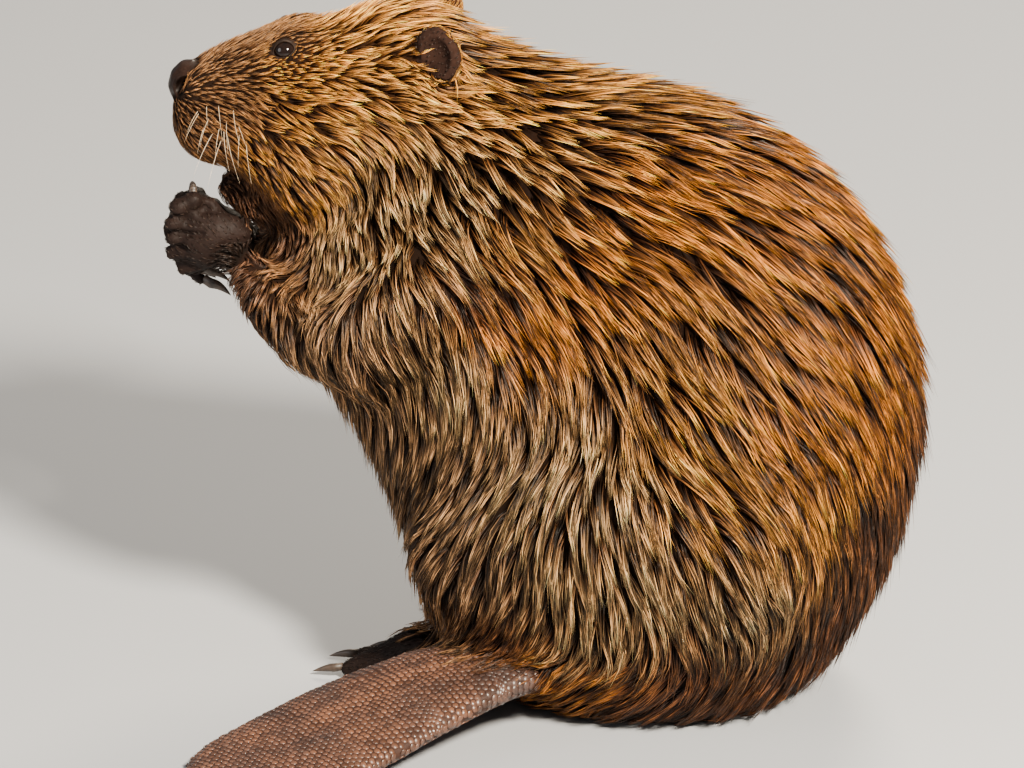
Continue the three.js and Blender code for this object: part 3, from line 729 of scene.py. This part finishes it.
def thinned_skin():
    """The skin with its attributes. It is plainer under the fur, and in full where it shows."""
    obj = mesh_object("skin", skin_v, skin_t)
    colour_attribute(obj.data, "skin_colour", under)
    for name, values in (("bare", bare), ("tail", tail), ("nose_pad", nose)):
        value_attribute(obj.data, name, values)
    shows = np.clip(bare + nose + ear + headish * (ahead > 110), 0, 1) > 0.3
    group = obj.vertex_groups.new(name="plain")
    group.add(np.flatnonzero(~shows).tolist(), 1.0, "REPLACE")
    group.add(np.flatnonzero(shows).tolist(), 0.0, "REPLACE")
    thin = obj.modifiers.new("thin", "DECIMATE")
    thin.ratio = (shows[skin_t[:, 0]].sum() + FURRED_TRIANGLES) / len(skin_t)
    thin.vertex_group = "plain"
    return linked("skin", evaluated(obj))


finish_piece(thinned_skin(), SKIN, "fur", *FLESH)
skin_tree = tree_of(skin_v, skin_t)


# ---- unwrap for the coat

UNWRAP_TRIANGLES = 6000


def unwrap_of_skin():
    """A coarse copy of the skin with its own unwrap: its tree, corners and the corners' places in the map."""
    obj = mesh_object("unwrap", skin_v, skin_t)
    m = obj.modifiers.new("coarse", "DECIMATE")
    m.ratio = UNWRAP_TRIANGLES / len(skin_t)
    mesh = evaluated(obj)
    obj = linked("unwrap", mesh)
    bpy.context.view_layer.objects.active = obj
    obj.select_set(True)
    bpy.ops.object.mode_set(mode="EDIT")
    bpy.ops.mesh.select_all(action="SELECT")
    bpy.ops.uv.smart_project(angle_limit=math.radians(66), island_margin=0.004)
    bpy.ops.object.mode_set(mode="OBJECT")
    verts, tris = read_mesh(mesh)
    loops = values_of(mesh.loop_triangles, "loops", 3)
    uv = values_of(mesh.uv_layers.active.data, "uv", 2, np.float32)
    drop(obj)
    return tree_of(verts, tris), verts[tris], uv[loops]


unwrap_tree, unwrap_tris, unwrap_corners = unwrap_of_skin()


def places_in_map(points):
    """Where points of the skin lie on its unwrap."""
    where, index = nearest_on(unwrap_tree, points)
    a, b, c = (unwrap_tris[index, k] for k in range(3))
    n = np.cross(b - a, c - a)
    area = np.maximum((n * n).sum(axis=1), 1e-18)
    wb = (np.cross(where - a, c - a) * n).sum(axis=1) / area
    wc = (np.cross(b - a, where - a) * n).sum(axis=1) / area
    w = np.stack([1 - wb - wc, wb, wc], axis=1)
    return (unwrap_corners[index] * w[:, :, None]).sum(axis=1)


# ---- coat

def spread_roots(spacing, wanted):
    """Random roots on the skin where wanted is true of a triangle, no two closer than spacing."""
    tris = skin_t[wanted]
    corners = skin_v[tris]
    area = np.linalg.norm(np.cross(corners[:, 1] - corners[:, 0], corners[:, 2] - corners[:, 0]), axis=1) / 2
    count = int(area.sum() / spacing ** 2 * 4)
    pick = rng.choice(len(tris), count, p=area / area.sum())
    a, b = rng.random(count), rng.random(count)
    flip = a + b > 1
    a[flip], b[flip] = 1 - a[flip], 1 - b[flip]
    c = corners[pick]
    points = c[:, 0] + (c[:, 1] - c[:, 0]) * a[:, None] + (c[:, 2] - c[:, 0]) * b[:, None]
    around = list(product((-1, 0, 1), repeat=3))
    cells, kept = {}, []
    cell_of = np.floor(points / spacing).astype(int).tolist()
    for i, (p, (kx, ky, kz)) in enumerate(zip(points.tolist(), cell_of)):
        near = (q for dx, dy, dz in around for q in cells.get((kx + dx, ky + dy, kz + dz), ()))
        if all(math.dist(p, q) >= spacing for q in near):
            cells.setdefault((kx, ky, kz), []).append(p)
            kept.append(i)
    return points[kept], tris[pick[kept], 0]


def wander(points):
    """A slow drift of the hair's way over the body, in radians."""
    x, y, z = (points / MM).T
    return (0.13 * np.sin(x / 11 + 2.1 * np.sin(z / 19))
            + 0.12 * np.sin(z / 8.5 + y / 13 + 1.7 * np.sin(x / 23))
            + 0.08 * np.sin((x + y) / 5.1 - z / 6.3))


LEADER_SPACING = 12 * MM


def gathered_tips(line, along, pull):
    """Draws each lock's tip towards that of the leader nearest to it, so that the coat clumps."""
    cells = {}
    for i in rng.permutation(len(line)):
        cells.setdefault(tuple(np.floor(line[i, 0] / LEADER_SPACING).astype(int)), i)
    leaders = list(cells.values())
    tree = points_tree(line[leaders, 1])
    lead = np.array([leaders[tree.find(p)[1]] for p in line[:, 1].tolist()])
    gap = line[lead] - line
    apart = np.linalg.norm(gap[:, 1], axis=1)
    gap = gap - along * (gap * along).sum(axis=2, keepdims=True) * 0.75
    weight = pull * np.clip(1.4 - apart / (14 * MM), 0, 1)
    t = np.linspace(0, 1, line.shape[1])
    return line + gap * weight[:, None, None] * (t ** 1.4)[None, :, None]


def lock_spines(roots, at, steps, stiff, pull, low):
    """Each lock's middle line over the skin: places, outward ways and sideways, and its coat data."""
    data = coat_at(roots, names[at])
    length = data[:, 3] * MM * rng.uniform(0.82, 1.15, len(roots))
    turn = rng.normal(0, 0.13, len(roots)) + wander(roots)
    spot, normal = roots.copy(), skin_n[at].copy()
    way = tangent(data[:, :3], normal)
    way = way * np.cos(turn)[:, None] + np.cross(normal, way) * np.sin(turn)[:, None]
    rise = rng.uniform(0.84, 1.12, len(roots)) * np.where(low, 0.8, 1)
    line, outs = [roots - normal * 0.6 * MM], [normal]
    tall = depth[at]
    free = roots.copy()
    for t in np.arange(1, steps) / (steps - 1):
        spot = spot + way * (length / (steps - 1))[:, None]
        free = free + way * (length / (steps - 1))[:, None]
        spot, face = nearest_on(skin_tree, spot)
        corner = skin_t[face, 0]
        new_normal = skin_n[corner]
        tall = tall * 0.4 + depth[corner] * 0.6
        here = coat_at(spot, names[corner])[:, :3]
        way = tangent(unit(way * 0.55 + here * 0.45), new_normal)
        normal = unit(normal + new_normal)
        lift = (tall * MM * rise) * t ** 0.75
        base = spot + (free - spot) * stiff[:, None] * t
        line.append(base + normal * lift[:, None])
        outs.append(normal)
    line, outs = np.stack(line, axis=1), np.stack(outs, axis=1)
    along = unit(np.gradient(line, axis=1))
    sides = unit(np.cross(outs, along))
    if pull:
        line = gathered_tips(line, along, pull)
        along = unit(np.gradient(line, axis=1))
        sides = unit(np.cross(outs, along))
    return line, unit(np.cross(along, sides)), sides, along, length, data


# The share of locks that lie lower and are darker, and the share of strands that stray from their lock.
LOW_SHARE, STRAY_SHARE = 0.36, 0.10
MAP_PATCH = 0.003


def strands(roots, at, number, steps, width, radius, stiff_most, pull, low_tone, dark_share, dark_tone):
    """The coat's strands as closed tapering prisms: places, triangles, colours and map places per lock."""
    locks = len(roots)
    stiff = rng.uniform(0, stiff_most, locks)
    low = rng.random(locks) < LOW_SHARE
    line, outs, sides, along, length, data = lock_spines(roots, at, steps, stiff, pull, low)
    t = np.linspace(0, 1, steps)
    lock = np.repeat(np.arange(locks), number)
    total = len(lock)
    across = rng.uniform(-1, 1, total)
    deep = rng.uniform(-1, 1, total)
    stray = rng.random(total) < STRAY_SHARE
    longer = np.where(stray, rng.uniform(0.95, 1.18, total), rng.uniform(0.80, 1.03, total))
    close = 1 - np.where(stray, 0.35, 0.93)[:, None] * t ** 1.1
    half = (width * MM * rng.uniform(0.8, 1.2, locks))[lock] / 2
    bend = rng.normal(0, 1, total) * 0.035

    def off(ways, amount, share):
        return ways[lock] * amount[:, None, None] * share[..., None]

    # Each strand's own line, off the lock's middle line by so much sideways, outwards and along it.
    q = line[lock] + off(sides, across * half, close)
    q += off(outs, deep * half * 0.35, close)
    q += off(along, (longer - 1) * length[lock], t)
    q += off(along, rng.uniform(-0.5, 0.5, total) * half * 2, 1 - t)
    q += off(sides, bend * length[lock], t ** 2)
    q += off(outs, stray * rng.uniform(0, 0.08, total) * length[lock], t ** 2)
    taper = np.interp(t, (0, 0.35, 0.7, 1), (0.9, 1.0, 0.72, 0.0))
    r = radius * MM * rng.uniform(0.7, 1.25, total) * np.where(stray, 0.75, 1.0)
    phase = rng.uniform(0, 2 * math.pi, total)
    rings = steps - 1
    angle = phase[:, None] + np.arange(3)[None] * 2 * math.pi / 3
    offset = (sides[lock][:, :rings, None] * np.cos(angle)[:, None, :, None]
              + outs[lock][:, :rings, None] * np.sin(angle)[:, None, :, None])
    ring = q[:, :rings, None] + offset * (r[:, None] * taper[None, :rings])[:, :, None, None]
    verts = np.concatenate([ring.reshape(total, rings * 3, 3), q[:, rings:rings + 1]], axis=1)
    per = rings * 3 + 1
    top = per - 4
    tris = [(0, 2, 1)] + side_faces(rings, 3) + [(top + j, top + (j + 1) % 3, per - 1) for j in range(3)]
    tris = np.array(tris)[None] + (np.arange(total) * per)[:, None, None]
    # Colours run from root to tip, with each lock and strand a little lighter or darker.
    level = np.append(np.repeat(t[:rings], 3), 1.0)
    root_c, mid_c, tip_c = data[lock, 4:7], data[lock, 7:10], data[lock, 10:13]
    pale = (np.exp(rng.normal(0, 0.2, locks)) * np.where(low, low_tone, 1.1))[lock]
    pale = pale * np.exp(rng.normal(0, 0.28, total))
    pale *= np.where(rng.random(total) < dark_share, dark_tone, 1.3)
    up = smoothstep(level, 0.15, 0.70)[None, :, None]
    end = smoothstep(level, 0.50, 1.0)[None, :, None]
    colour = root_c[:, None] + (mid_c - root_c)[:, None] * up
    colour = colour + (tip_c[:, None] - colour) * end * rng.uniform(0.35, 1.0, total)[:, None, None]
    colour = np.clip(colour * pale[:, None, None], 0, 1)
    patch = places_in_map(roots)
    u = patch[lock, 0, None] + (across * 0.4 + rng.uniform(-0.1, 0.1, total))[:, None] * MAP_PATCH
    v = patch[lock, 1, None] + (level[None] - 0.5) * MAP_PATCH
    uv = np.stack([np.broadcast_to(u, v.shape), v], axis=2)
    return lock, verts, tris, colour, uv, per


# By the coat's length: spacing in mm, strands to a lock, steps, width and thickness in mm, most stiffness,
# pull to the leaders, tone of the low locks, and share and tone of the dark strands.
CLASSES = {
    "paw": (2.5, 3, 3, 2.0, 0.17, 0.1, 0.0, 0.8, 0.3, 0.6),
    "face": (1.9, 5, 3, 2.4, 0.20, 0.1, 0.0, 0.8, 0.4, 0.45),
    "head": (3.3, 8, 4, 4.4, 0.26, 0.2, 0.50, 0.55, 0.42, 0.34),
    "body": (5.8, 12, 4, 7.6, 0.32, 0.35, 0.55, 0.42, 0.5, 0.27),
}
# The same for the locks that cover bare patches afterwards.
COVERS = {
    "body": (3.4, 7, 4, 5.5, 0.30, 0.2, 0.0, 0.42, 0.5, 0.27),
    "head": (2.6, 6, 4, 4.0, 0.26, 0.2, 0.0, 0.55, 0.42, 0.34),
}
# The fur ends this far past the tail's root, and keeps this clear of an eye's middle.
TAIL_FUR, EYE_CLEAR = 7 * MM, 5.9 * MM


def coat_kinds():
    """For each class, whether each triangle of the skin has such locks."""
    first = skin_t[:, 0]
    place, normal, tri_names, length = skin_v[first], skin_n[first], names[first], coat_here[first, 3]
    past_root = (place - TAIL_LINE[0]) @ unit(np.array((-0.92, -0.38, 0)))
    hand, foot = (np.char.startswith(tri_names, limb) for limb in ("hand", "foot"))
    furry = ~((nose[first] > 0.4) | ((tail[first] > 0.4) & (past_root > TAIL_FUR)) | hand | foot)
    # Hands and feet have short hair but on the palms and soles.
    side = np.where(place[:, 1] < -35 * MM, -1, 1)
    outer = (normal @ head_dir(0.2, 0, 0)) + (normal @ head_dir(0, 1, 0)) * side > 0.1
    paw = (foot & (normal[:, 2] > 0.15)) | (hand & outer)
    tip = place + coat_here[first, :3] * (length * MM)[:, None]
    for ball, out in zip(EYEBALL.values(), EYE_OUT.values()):
        # No root where its hair would lie over the eye.
        start, end = (g - np.outer(g @ out, out) for g in (place - ball, tip - ball))
        run = end - start
        t = np.clip(-(start * run).sum(axis=1) / np.maximum((run * run).sum(axis=1), 1e-12), 0, 1)
        clear = np.linalg.norm(start + run * t[:, None], axis=1)
        furry &= ~((np.linalg.norm(place - ball, axis=1) < 25 * MM) & (clear < EYE_CLEAR))
    # The cup of each ear has only short dark hair.
    for side, sign in SIDES.items():
        cup = (tri_names == "ear_" + side) & (normal @ head_dir(0.3, sign, 0) > 0.15)
        furry &= ~cup
        paw |= cup
    return {"paw": paw, "face": furry & (length < 13), "head": furry & (length >= 13) & (length < 25),
            "body": furry & (length >= 25)}


# The coat is kept in pieces by the place of the lock's root, in mm.
HOMES = {
    "coat_muzzle": (-240, 0, 345), "coat_head": (-150, 0, 390), "coat_cheeks": (-140, 0, 315),
    "coat_neck_left": (-60, -60, 330), "coat_neck_right": (-60, 60, 330), "coat_chest_left": (-190, -50, 225),
    "coat_chest_right": (-190, 50, 225), "coat_belly": (-120, 0, 120), "coat_back": (90, 0, 320),
    "coat_flank_left": (20, -110, 200), "coat_flank_right": (20, 110, 200), "coat_rump": (150, 0, 150),
    "coat_thigh_left": (0, -120, 90), "coat_thigh_right": (0, 120, 90), "coat_seat": (90, 0, 40),
    "coat_feet": (-140, 0, 5), "coat_hands": (-245, -35, 262),
}
home_places = np.array(list(HOMES.values())) * MM
gathered = {name: [] for name in HOMES}
LOW_Z = 3 * MM


def grow(roots, at, *shape):
    """Grows a lock on each root and puts it in the piece whose home is nearest to the root."""
    lock, verts, tris, colour, uv, per = strands(roots, at, *shape)
    # Hair that would reach the floor is bent to lie just above it.
    z = verts[:, :, 2]
    verts[:, :, 2] = np.where(z < LOW_Z, LOW_Z - 2.6 * MM * (1 - np.exp((z - LOW_Z) / (4 * MM))), z)
    home = ((roots[:, None] - home_places[None]) ** 2).sum(axis=2).argmin(axis=1)[lock]
    for i, groups in enumerate(gathered.values()):
        here = np.flatnonzero(home == i)
        if len(here):
            local = tris[here] + ((np.arange(len(here)) - here) * per)[:, None, None]
            groups.append((verts[here].reshape(-1, 3), local.reshape(-1, 3), colour[here].reshape(-1, 3),
                           uv[here].reshape(-1, 2)))


def bare_roots(spacing, wanted):
    """Roots a little upstream of each patch of skin that no lock lies over."""
    roots, at = spread_roots(spacing, wanted)
    cover = tree_of(*merged([group[:2] for groups in gathered.values() for group in groups]))
    normal = skin_n[at]
    way = tangent(coat_here[at, :3], normal)
    across = np.cross(normal, way)
    missed = np.zeros(len(roots), int)
    for a, b in product((-1, 1), repeat=2):
        start = roots + (normal * 0.8 + way * a + across * b) * MM
        missed += [cover.ray_cast(p, n, 0.06)[0] is None for p, n in zip(start.tolist(), normal.tolist())]
    bare_here = np.flatnonzero(missed >= 3)
    tree = points_tree(roots[bare_here])
    patch = [i for i in bare_here if len(tree.find_range(roots[i], 2.3 * spacing)) >= 4]
    places, faces = nearest_on(skin_tree, roots[patch] - way[patch] * 4 * MM)
    return places, skin_t[faces, 0]


kind_of = coat_kinds()
for kind, (spacing, *shape) in CLASSES.items():
    grow(*spread_roots(spacing * MM, kind_of[kind]), *shape)
for kind, (spacing, *shape) in COVERS.items():
    grow(*bare_roots(spacing * MM, kind_of[kind]), *shape)
for name, groups in gathered.items():
    verts, tris = merged([group[:2] for group in groups])
    obj = mesh_object(name, verts, tris)
    colour_attribute(obj.data, "hair_colour", np.concatenate([group[2] for group in groups]))
    places = np.concatenate([group[3] for group in groups])
    layer = obj.data.uv_layers.new(name="OFBake")
    layer.data.foreach_set("uv", places[tris.ravel()].astype(np.float32).ravel())
    finish_piece(obj, FUR, "fur")

# ---- eyes, claws and whiskers

def tube(points, radii, sides, squash=None):
    """A closed tapering tube along points; squash is a direction and a factor to flatten it."""
    along = unit(np.gradient(points, axis=0))
    across = [unit(np.cross(along[0], (0.3, 0.5, 0.8)))]
    for way in along[1:]:
        across.append(unit(across[-1] - way * (across[-1] @ way)))
    across = np.array(across)
    other = np.cross(along, across)
    a = np.linspace(0, 2 * math.pi, sides, endpoint=False)
    offset = (across[:, None] * np.cos(a)[None, :, None] + other[:, None] * np.sin(a)[None, :, None])
    offset = offset * radii[:, None, None]
    if squash is not None:
        direction, factor = squash
        offset = offset - (offset @ direction)[..., None] * direction * (1 - factor)
    return capped(points[:, None] + offset, points[0], points[-1])


def joined(name, parts):
    """Several small closed meshes as one object, kept just above the floor."""
    verts, faces = merged(parts)
    verts[:, 2] = np.maximum(verts[:, 2], 0.15 * MM)
    return mesh_object(name, verts, faces)


def eyeball(side):
    a = np.linspace(math.pi, 0, 25)[1:-1, None]
    b = np.linspace(0, 2 * math.pi, 48, endpoint=False)
    rings = np.stack([np.sin(a) * np.cos(b), np.sin(a) * np.sin(b), np.cos(a) + 0 * b], axis=2)
    verts, faces = capped(rings, (0, 0, -1), (0, 0, 1))
    ball = mesh_object("eyeball_" + side, verts * EYE_RADIUS + EYEBALL[side], faces)
    finish_piece(ball, EYE, "eye", "eye_" + side)


# The opening between the lids: its halves ahead, behind, above and below in mm, and its slant in radians.
LID_AHEAD, LID_BEHIND, LID_ABOVE, LID_BELOW, LID_SLANT = 6.2, 5.4, 4.3, 4.4, 0.25


def eyelids(side):
    """Both lids as one closed ring that hugs the eyeball and sinks into the skin."""
    outward, centre, r = EYE_OUT[side], EYEBALL[side], EYE_RADIUS / MM
    front = tangent(head_dir(1, 0, 0), outward)
    up = np.cross(outward, front)
    up = up if up[2] > 0 else -up
    c, s = math.cos(LID_SLANT), math.sin(LID_SLANT)
    front, up = front * c - up * s, up * c + front * s
    turns = 72
    angle = np.linspace(0, 2 * math.pi, turns, endpoint=False)
    c, s = np.cos(angle), np.sin(angle)
    ring = np.outer(c, front) + np.outer(s, up)
    long_half = np.where(c > 0, LID_AHEAD, LID_BEHIND)
    tall_half = np.where(s > 0, LID_ABOVE, LID_BELOW)
    rim = 1 / ((np.abs(c) / long_half) ** 1.8 + (np.abs(s) / tall_half) ** 1.8) ** (1 / 1.8)
    # The upper lid is thicker.
    heavy = np.clip(s, 0, 1) * 0.45

    def skin_height(reach):
        starts = centre + (ring * reach[:, None] + outward * 30) * MM
        hits = [skin_tree.ray_cast(p, (-outward).tolist())[0] for p in starts.tolist()]
        return np.array([(np.array(hit) - centre) @ outward / MM if hit else 0 for hit in hits])

    def dome(radius, reach):
        return np.sqrt(np.maximum(radius ** 2 - np.minimum(reach, radius - 0.05) ** 2, 0))

    # Rows of points round the eye, from the inner edge over the lid into the skin: reach and height in mm.
    rows = [(rim - 0.1, dome(r - 0.5, rim - 0.1)), (rim, dome(r + 0.15, rim)),
            (rim + 0.2, dome(r + 0.55 + heavy, rim + 0.2)), (rim + 0.7, dome(r + 0.8 + heavy, rim + 0.7))]
    for extra, share, sink in ((1.6, 0.4, 0.6), (2.8, 0.0, 0.2), (4.6, 0.0, -1.0)):
        reach = rim + extra
        rows.append((reach, share * dome(r + 0.9, reach) + (1 - share) * (skin_height(reach) + sink)))
    rows.append((rim + 1.0, np.full(turns, -2.0)))
    verts = [centre + (ring * reach[:, None] + np.outer(high, outward)) * MM for reach, high in rows]
    verts = np.concatenate(verts)
    here = np.arange(len(verts)).reshape(len(rows), turns)
    loops = [here, np.roll(here, -1, axis=0), np.roll(here, (-1, -1), axis=(0, 1)), np.roll(here, -1, axis=1)]
    if np.cross(front, up) @ outward < 0:
        loops = loops[:1] + loops[:0:-1]
    lids = mesh_object("eyelids_" + side, verts, np.stack(loops, axis=2).reshape(-1, 4))
    m = lids.modifiers.new("soft", "SUBSURF")
    m.levels = m.render_levels = 1
    finish_piece(lids, LID, "face_fur")


def claw_of(name):
    """A smooth curved claw where the frame has its plain one, with its root set in the flesh."""
    v, _ = node_mesh(name)
    far = np.array([cad_tree.find_nearest(p)[3] for p in v.tolist()])
    base = v[far <= far.min() + 0.25 * np.ptp(far)].mean(axis=0)
    tip = v[np.linalg.norm(v - base, axis=1).argmax()]
    axis = unit(tip - base)
    along = (v - base) @ axis / np.linalg.norm(tip - base)
    middle = v[(along > 0.3) & (along < 0.75)]
    middle = middle.mean(axis=0) if len(middle) else (base + tip) / 2
    control = 2 * middle - (base + tip) / 2
    near = v[along < 0.3] - base
    thick = np.linalg.norm(near - np.outer(near @ axis, axis), axis=1).max()
    if name.startswith("foot"):
        tip, control = base + (tip - base) * 0.85, base + (control - base) * 0.85
    t = np.linspace(0, 1, 12)[:, None]
    path = (1 - t) ** 2 * base + 2 * t * (1 - t) * control + t ** 2 * tip
    path = np.concatenate([[base - axis * 5.5 * MM], path])
    path[:, 2] = np.maximum(path[:, 2], 1.4 * MM)
    radii = thick * np.append(0.9, (1 - t[:, 0] ** 1.6) ** 0.8)
    radii[-1] = 0.12 * MM
    return tube(path, radii, 12, (unit(np.cross(axis, (0, 0, 1))), 0.82))


def whisker(sign, row, column):
    """One whisker on that side of the muzzle, or nothing where its root would miss the skin."""
    place = 172 - 6.5 * column - 2 * row + rng.uniform(-2.5, 2.5), 346 - 5.5 * row + rng.uniform(-2.2, 2.2)
    start = in_head(place[0], sign * 60, place[1])
    hit = skin_tree.ray_cast(start.tolist(), head_dir(0, -sign, 0).tolist())[0]
    if hit is None:
        return []
    way = unit(head_dir(0.50 - 0.22 * column + rng.uniform(-0.28, 0.28), sign * (0.75 + rng.uniform(0, 0.4)),
                        -0.65 - 0.1 * row + rng.uniform(-0.25, 0.25)))
    fall = head_dir(rng.uniform(-0.45, 0.0), 0, -0.5)
    length = rng.uniform(13, 30) * MM
    t = np.linspace(0, 1, 9)[:, None]
    path = np.array(hit) - way * 1.5 * MM + way * t * length + fall * t ** 2 * length * 0.4
    return [tube(path, 0.19 * MM * (1 - 0.85 * t[:, 0]), 5)]


for side in SIDES:
    eyeball(side)
    eyelids(side)
for limb in ("hand", "foot"):
    for side in SIDES:
        for i in range(1, 6):
            name = "%s_claw_%s_%d" % (limb, side, i)
            finish_piece(joined("horn_" + name, [claw_of(name)]), CLAW, "claw", name)
whiskers = [made for sign in (-1, 1) for row in range(4) for i in range(4) for made in whisker(sign, row, i)]
finish_piece(joined("whiskers", whiskers), WHISKER, "face_fur")

# ---- scales of the tail

# Six-sided plates lie like shingles on both faces and the edges of the paddle. All in mm.
SCALE_WIDTH, SCALE_LENGTH = 2.45, 2.15
SCALE_STEP, ROW_STEP, EDGE_STEP = 4.2, 3.5, 3.6
corner_turn = np.arange(6) * math.pi / 3 + math.pi / 6
run = np.concatenate([[0], np.cumsum(np.linalg.norm(np.diff(TAIL_LINE, axis=0), axis=1))])
plates, plate_tone = [], []


def plate(hit, normal, ahead_way):
    """One scale on the skin at hit, its free edge to the tail's tip."""
    along = tangent(ahead_way, normal)
    across = np.cross(normal, along)
    size = rng.uniform(0.9, 1.08) * (1.18 if abs(normal[2]) < 0.5 else 1)
    verts = []
    for share, high, lift in ((1.0, -0.35, 0.0), (0.86, 0.16, 0.22)):
        for u, v in zip(np.cos(corner_turn) * SCALE_WIDTH * size, np.sin(corner_turn) * SCALE_LENGTH * size):
            flat = across * u * share + along * (v * share + 0.2)
            verts.append(hit + (flat + normal * (high + lift * v / 2)) * MM)
    verts += [hit + normal * 0.30 * MM, hit - normal * 0.5 * MM]
    tris = []
    for k in range(6):
        n = (k + 1) % 6
        tris += [(n + 6, n, k), (k + 6, n + 6, k), (12, n + 6, k + 6), (13, k, n)]
    plates.append((np.array(verts), np.array(tris)))
    plate_tone.append(np.full(14, rng.random()))


def scale_at(start, way, ahead_way, sideways):
    """A scale where the line from start first meets the tail, if it is a side there or not as wanted."""
    for _ in range(5):
        hit, _, index, _ = skin_tree.ray_cast(start, way)
        if hit is None:
            return
        hit, corner = np.array(hit), skin_t[index, 0]
        if tail[corner] >= 0.35:
            normal = skin_n[corner]
            if normal @ way < 0 and (abs(normal[2]) < 0.5) == sideways:
                plate(hit, normal, ahead_way)
            return
        start = tuple(hit + np.array(way) * 0.1 * MM)


def on_tail(at):
    return np.array([np.interp(at, run, TAIL_LINE[:, k]) for k in range(3)])


for row, at in enumerate(np.arange(-3 * MM, run[-1] + 4 * MM, ROW_STEP * MM)):
    middle = on_tail(at)
    ahead_way = unit((on_tail(at + 8 * MM) - on_tail(at - 8 * MM)) * (1, 1, 0))
    side_way = np.cross(ahead_way, (0, 0, 1))
    shift = 0.5 * (row % 2)
    out_steps = int(np.interp(at, run, TAIL_HALF) / (SCALE_STEP * MM)) + 2
    for j in range(-out_steps, out_steps + 1):
        x, y, _ = middle + side_way * ((j + shift) * SCALE_STEP + rng.uniform(-0.3, 0.3)) * MM
        scale_at((x, y, 0.3), (0, 0, -1), ahead_way, False)
        scale_at((x, y, -0.2), (0, 0, 1), ahead_way, False)
    for j in range(-5, 6):
        for way in (side_way, -side_way):
            spot = middle + (0, 0, (j + shift) * EDGE_STEP * MM) + way * 0.2
            scale_at(tuple(spot), tuple(-way), ahead_way, True)
# The edge round the tip.
for j in range(5):
    for turn in np.arange(-1.3, 1.31, 0.11) + 0.055 * (j % 2):
        way = ahead_way * math.cos(turn) + side_way * math.sin(turn)
        scale_at(tuple(TAIL_LINE[-2] + way * 0.1 + (0, 0, (j - 1.5) * 3.0 * MM)), tuple(-way), way, True)
scales = joined("tail_scales", plates)
value_attribute(scales.data, "scale_tone", np.concatenate(plate_tone))
finish_piece(scales, SCALE, "tail_skin")

# ---- floor, light and camera

floor = mesh_object("floor", [[-6, -6, 0], [6, -6, 0], [6, 6, 0], [-6, 6, 0]], [[0, 1, 2, 3]])
floor_mat = bpy.data.materials.new("floor")
floor_mat.use_nodes = True
floor_mat.node_tree.nodes["Principled BSDF"].inputs["Base Color"].default_value = (0.33, 0.34, 0.36, 1)
floor.data.materials.append(floor_mat)

# The camera stands 3.5 m from the animal. PIXEL is one pixel of the picture, in mm at the animal, and the
# frame's origin is seen at (ORIGIN_X, ORIGIN_Y) of the picture's pixels.
DISTANCE, PIXEL = 3.5, 0.585
PICTURE_WIDTH, PICTURE_HEIGHT = 1024, 768
ORIGIN_X, ORIGIN_Y = 637, 667
RIGHT = Vector((0.9781, 0.2079, 0))
AHEAD = Vector((-0.19537, 0.91914, -0.34202))
UP = RIGHT.cross(AHEAD)
target = (RIGHT * (PICTURE_WIDTH / 2 - ORIGIN_X) + UP * (ORIGIN_Y - PICTURE_HEIGHT / 2)) * PIXEL * MM
camera_data = bpy.data.cameras.new("camera")
camera = linked("camera", camera_data)
camera_data.sensor_width = 36
camera_data.lens = DISTANCE / MM / PIXEL * 36 / PICTURE_WIDTH
camera_data.clip_end = 50
turn = Matrix((RIGHT, UP, -AHEAD)).transposed().to_4x4()
camera.matrix_world = Matrix.Translation(target - AHEAD * DISTANCE) @ turn
bpy.context.scene.camera = camera


def soft_light(name, where, size, power, colour):
    """A round lamp that points at the animal's middle."""
    data = bpy.data.lights.new(name, "AREA")
    data.shape, data.size, data.energy, data.color = "DISK", size, power, colour
    lamp = linked(name, data)
    lamp.location = where
    lamp.rotation_euler = (Vector((0, 0, 0.2)) - Vector(where)).to_track_quat("-Z", "Y").to_euler()


soft_light("key", (1.5, -1.9, 2.1), 0.5, 540, (1, 0.90, 0.74))
soft_light("fill", (-2.2, -1.6, 1.2), 1.6, 36, (1, 0.97, 0.94))
soft_light("rim", (0.3, 2.2, 2.2), 1.0, 130, (1, 0.87, 0.68))
world = bpy.data.worlds.new("studio")
bpy.context.scene.world = world
world.use_nodes = True
background = world.node_tree.nodes["Background"]
background.inputs["Color"].default_value = (0.97, 0.98, 1, 1)
background.inputs["Strength"].default_value = 0.32

bpy.context.view_layer.update()
